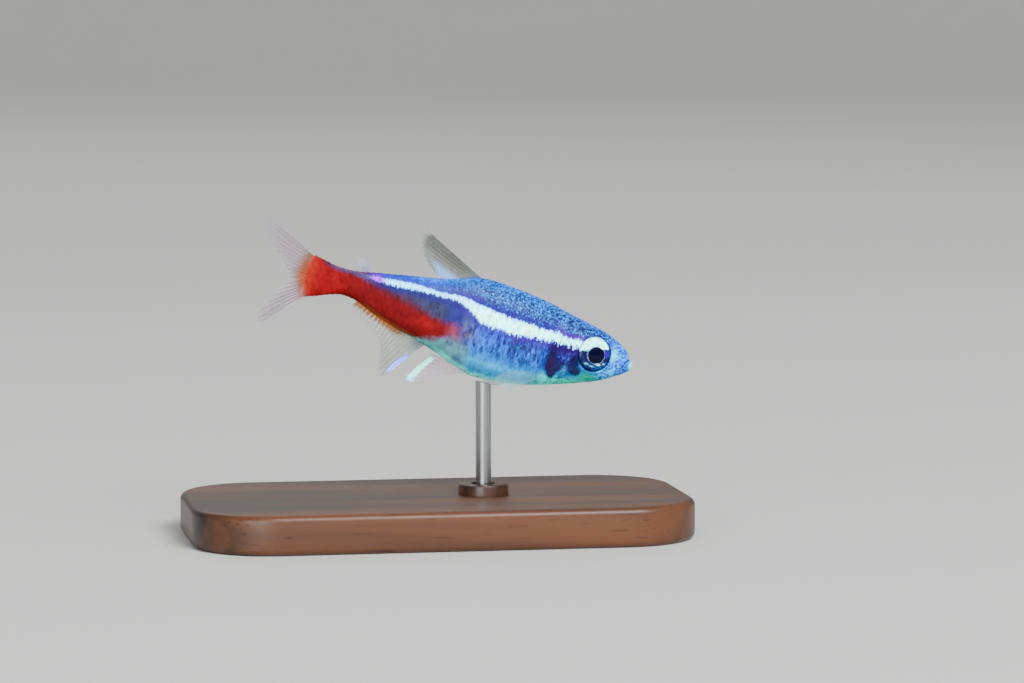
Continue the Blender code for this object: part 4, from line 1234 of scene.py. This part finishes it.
# %% A wet cornea over a silvery iris
def make_wet_eye():
    material, nodes, surface = new_material("wet_cornea_on_iris")
    place = add(nodes, "Attribute", attribute_name="place").outputs["Vector"]
    iris = add(nodes, "Attribute", attribute_name="iris").outputs["Color"]
    bright = add(nodes, "Attribute", attribute_name="bright").outputs["Fac"]
    fibres = add(nodes, "TexNoise", {"Vector": place, "Scale": 9.0, "Detail": 3.0, "Roughness": 0.7}, 0)
    shade = add(nodes, "MapRange", (fibres, 0.3, 0.7, 0.7, 1.15), 0)
    colour = add(nodes, "VectorMath", {0: iris, "Scale": shade}, **SCALED)
    # painted glow: by these shares the crown of the iris, the thread and the painted glints give off
    # light, though the eye is no lamp
    painted_glow = add(nodes, "VectorMath", {0: colour, "Scale": bright}, **SCALED)
    plug(surface, {"Base Color": colour, "Emission Color": painted_glow, "Emission Strength": 3.0,
                   "Roughness": 0.3, "Specular IOR Level": 0.08, "Coat Weight": 0.08,
                   "Coat Roughness": 0.02})
    return material


wet_eye = make_wet_eye()
for word, side in (("left", 1), ("right", -1)):
    make_eye(word, side, wet_eye)

# %% [markdown]
# ## The stand
#
# The plate and the rod are drawn again with the sizes of the solids, but with rounder corners and rims
# than a solid needs. The plate is dark stained walnut under satin varnish: long grain with fine pores.
# The rod is brushed stainless steel.

# %% Stained walnut and brushed steel
# how often each pattern repeats on a metre, along x, y and z: bands of grain, pores a fifth of a
# millimetre wide, and marks of the brush, which run along the rod
GRAIN, PORES, BRUSH_MARKS = (60, 900, 900), (350, 5000, 5000), (9000, 9000, 500)


def make_walnut():
    material, nodes, surface = new_material("stained_walnut")
    here = add(nodes, "TexCoord").outputs["Object"]
    grain = add(nodes, "Mapping", {"Vector": here, "Scale": GRAIN, "Rotation": (0, 0.04, 0.05)}, 0)
    wander = add(nodes, "TexNoise", {"Vector": grain, "Scale": 0.35, "Detail": 4, "Distortion": 0.6}, 0)
    late_wood = add(nodes, "MapRange", (wander, 0.3, 0.72), **SOFT)
    wood = add(nodes, "Mix", (late_wood, rgba("#140a05"), rgba("#553019")), **MIXED)
    thin = add(nodes, "Mapping", {"Vector": here, "Scale": PORES}, 0)
    pores = add(nodes, "TexNoise", {"Vector": thin, "Scale": 1.0, "Detail": 2.0}, 0)
    open_pore = add(nodes, "MapRange", (pores, 0.6, 0.74, 0.0, 0.7), **SOFT)
    wood = add(nodes, "Mix", (open_pore, wood, rgba("#160b06")), **MIXED)
    satin = add(nodes, "MapRange", {0: wander, 3: 0.42, 4: 0.55}, **SOFT)
    plug(surface, {"Base Color": wood, "Roughness": satin, "Specular IOR Level": 0.3,
                   "Coat Weight": 0.2, "Coat Roughness": 0.25})
    return material


def make_steel():
    material, nodes, surface = new_material("brushed_stainless_steel")
    here = add(nodes, "TexCoord").outputs["Object"]
    brushed = add(nodes, "Mapping", {"Vector": here, "Scale": BRUSH_MARKS}, 0)
    marks = add(nodes, "TexNoise", {"Vector": brushed, "Scale": 1.0, "Detail": 2.0}, 0)
    colour = add(nodes, "Mix", (marks, rgba("#8c8e90"), rgba("#a0a2a4")), **MIXED)
    worn = add(nodes, "MapRange", (marks, 0.2, 0.8, 0.26, 0.34), **SOFT)
    plug(surface, {"Base Color": colour, "Roughness": worn, "Metallic": 1.0})
    return material


# %% A smoother plate and rod
BASE, BASE_CORNER, BASE_RIM = (38, 20, 3), 6.0, 0.5
BOSS_RADIUS, BOSS_HEIGHT, ROD_RADIUS = 1.9, 0.8, 0.6
CORNER_STEPS, RIM_STEPS = 24, 6


def rounded_plate():
    """A box whose upright edges, and then its rims, are rounded in many small steps."""
    shape = bmesh.new()
    bmesh.ops.create_cube(shape, size=1, matrix=Matrix.Diagonal((*BASE, 1)))
    upright = [e for e in shape.edges if abs(e.verts[0].co.z - e.verts[1].co.z) > 1]
    bmesh.ops.bevel(shape, geom=upright, offset=BASE_CORNER, segments=CORNER_STEPS, profile=0.5,
                    affect="EDGES", material=-1)
    rims = [e for e in shape.edges if e.verts[0].co.z * e.verts[1].co.z > 0
            and abs(e.calc_face_angle(0) - math.pi / 2) < 0.1]
    bmesh.ops.bevel(shape, geom=rims, offset=BASE_RIM, segments=RIM_STEPS, profile=0.5,
                    affect="EDGES", material=-1)
    # a narrow border keeps the rim's smooth shading off the large flat faces
    flat = [face for face in shape.faces if abs(face.normal.z) > 0.99]
    bmesh.ops.inset_individual(shape, faces=flat, thickness=0.1)
    bmesh.ops.translate(shape, verts=shape.verts, vec=(0, 0, BASE[2] / 2))
    return shape


def upright_cylinder(foot, radius, low, high, segments=64):
    shape = bmesh.new()
    place = Matrix.Translation((*foot, (low + high) / 2))
    bmesh.ops.create_cone(shape, cap_ends=True, segments=segments, radius1=radius, radius2=radius,
                          depth=high - low, matrix=place)
    return shape


def settle(piece, node, material):
    """Brings a piece of the stand from millimetres to metres and lets it take its node's place."""
    move_to(piece.data, mesh_points(piece.data) * MM)
    smooth(piece.data, material, 35)
    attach(piece, "root")
    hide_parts(node)
    print(piece.name, len(piece.data.polygons), "faces")


STAND_STATION, SOCKET, PLAY = 10.7, 2.4, 0.3
foot = tuple(posed(np.array([[STAND_STATION, 0, float(belly(STAND_STATION))]]))[0, :2] / MM)
boss_top = BASE[2] + BOSS_HEIGHT
plate_shape = rounded_plate()
outward(plate_shape)
plate = new_piece("fine_stand_base", plate_shape)
bore = ROD_RADIUS + PLAY
cut(plate, upright_cylinder(foot, bore + 0.01, boss_top - SOCKET, boss_top))
boss_shape = turned([
    (bore, BASE[2] - 0.2), (BOSS_RADIUS, BASE[2] - 0.2), (BOSS_RADIUS, boss_top - 0.15),
    (BOSS_RADIUS - 0.04, boss_top - 0.04), (BOSS_RADIUS - 0.15, boss_top), (bore + 0.06, boss_top),
    (bore, boss_top - 0.06)], 72, True, foot)
outward(boss_shape)
boss = new_piece("boss", boss_shape)
joined = bmesh.new()
joined.from_mesh(plate.data)
joined.from_mesh(boss.data)
joined.to_mesh(plate.data)
joined.free()
bpy.data.objects.remove(boss)
settle(plate, "stand_base", make_walnut())

# the rod's slanting top lies where the solid's top lies, a small gap under the belly
solid_rod = mesh_points(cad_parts["stand_rod"].data) / MM
solid_top = solid_rod[solid_rod[:, 2] > solid_rod[:, 2].mean()]
plane = np.column_stack([solid_top[:, :2], np.ones(len(solid_top))])
slant = np.linalg.lstsq(plane, solid_top[:, 2], rcond=None)[0]
rod_low = boss_top - SOCKET + PLAY
rod = new_piece("fine_stand_rod", upright_cylinder(foot, ROD_RADIUS, rod_low, boss_top + 1))
rod_points = mesh_points(rod.data)
on_top = rod_points[:, 2] > boss_top
rod_points[on_top, 2] = rod_points[on_top, :2] @ slant[:2] + slant[2]
move_to(rod.data, rod_points)
settle(rod, "stand_rod", make_steel())

# %% [markdown]
# ## Floor and light
#
# A studio bowl, one surface whose floor curves up into its wall, shows no horizon from any side. Large
# soft lamps above it give the fish broad, mild highlights and a soft shadow.

# %% The studio
def make_studio():
    flat, bend, wall, bend_steps = 0.9, 0.5, 1.6, 12
    turns = [math.pi / 2 * step / bend_steps for step in range(1, bend_steps + 1)]
    curve = [(flat + bend * math.sin(turn), bend * (1 - math.cos(turn))) for turn in turns]
    shape = turned([(0, 0), (flat, 0), *curve, (flat + bend, wall)], 96)
    bowl = new_piece("studio_floor", shape)
    bowl.data.shade_smooth()
    material, nodes, surface = new_material("pale_matt_paint")
    here = add(nodes, "TexCoord").outputs["Object"]
    patchy = add(nodes, "TexNoise", {"Vector": here, "Scale": 3.0, "Detail": 2.0}, 0)
    matt = add(nodes, "Mix", (patchy, rgba("#c0c0be"), rgba("#c8c8c6")), **MIXED)
    plug(surface, {"Base Color": matt, "Roughness": 0.8})
    bowl.data.materials.append(material)
    bowl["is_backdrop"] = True


def soft_lamp(name, place, size, watts):
    """A white square lamp of a size in metres, turned towards the fish."""
    light = bpy.data.lights.new(name, "AREA")
    light.shape, light.size, light.energy = "SQUARE", size, watts
    lamp = bpy.data.objects.new(name, light)
    bpy.context.scene.collection.objects.link(lamp)
    facing = (Vector(place) - SNOUT * MM).to_track_quat("Z", "Y").to_matrix().to_4x4()
    lamp.matrix_world = Matrix.Translation(place) @ facing


make_studio()
soft_lamp("key_lamp", (0.25, -0.6, 0.55), 0.4, 14.0)
soft_lamp("fill_lamp", (-0.35, -0.75, 0.1), 0.45, 9.0)
soft_lamp("rim_lamp", (-0.1, 0.7, 0.6), 0.5, 1.5)
sky = bpy.data.worlds.new("studio_air")
sky.use_nodes = True
plug(sky.node_tree.nodes["Background"], {"Color": rgba("#eef1f4"), "Strength": 0.45})
bpy.context.scene.world = sky

# %% The size of the dressed model beside the solids'
dressed_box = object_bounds()
for word, box in (("solids", cad_box), ("dressed", dressed_box)):
    print(word, [round((high - low) / MM, 2) for low, high in zip(*box)], "mm")
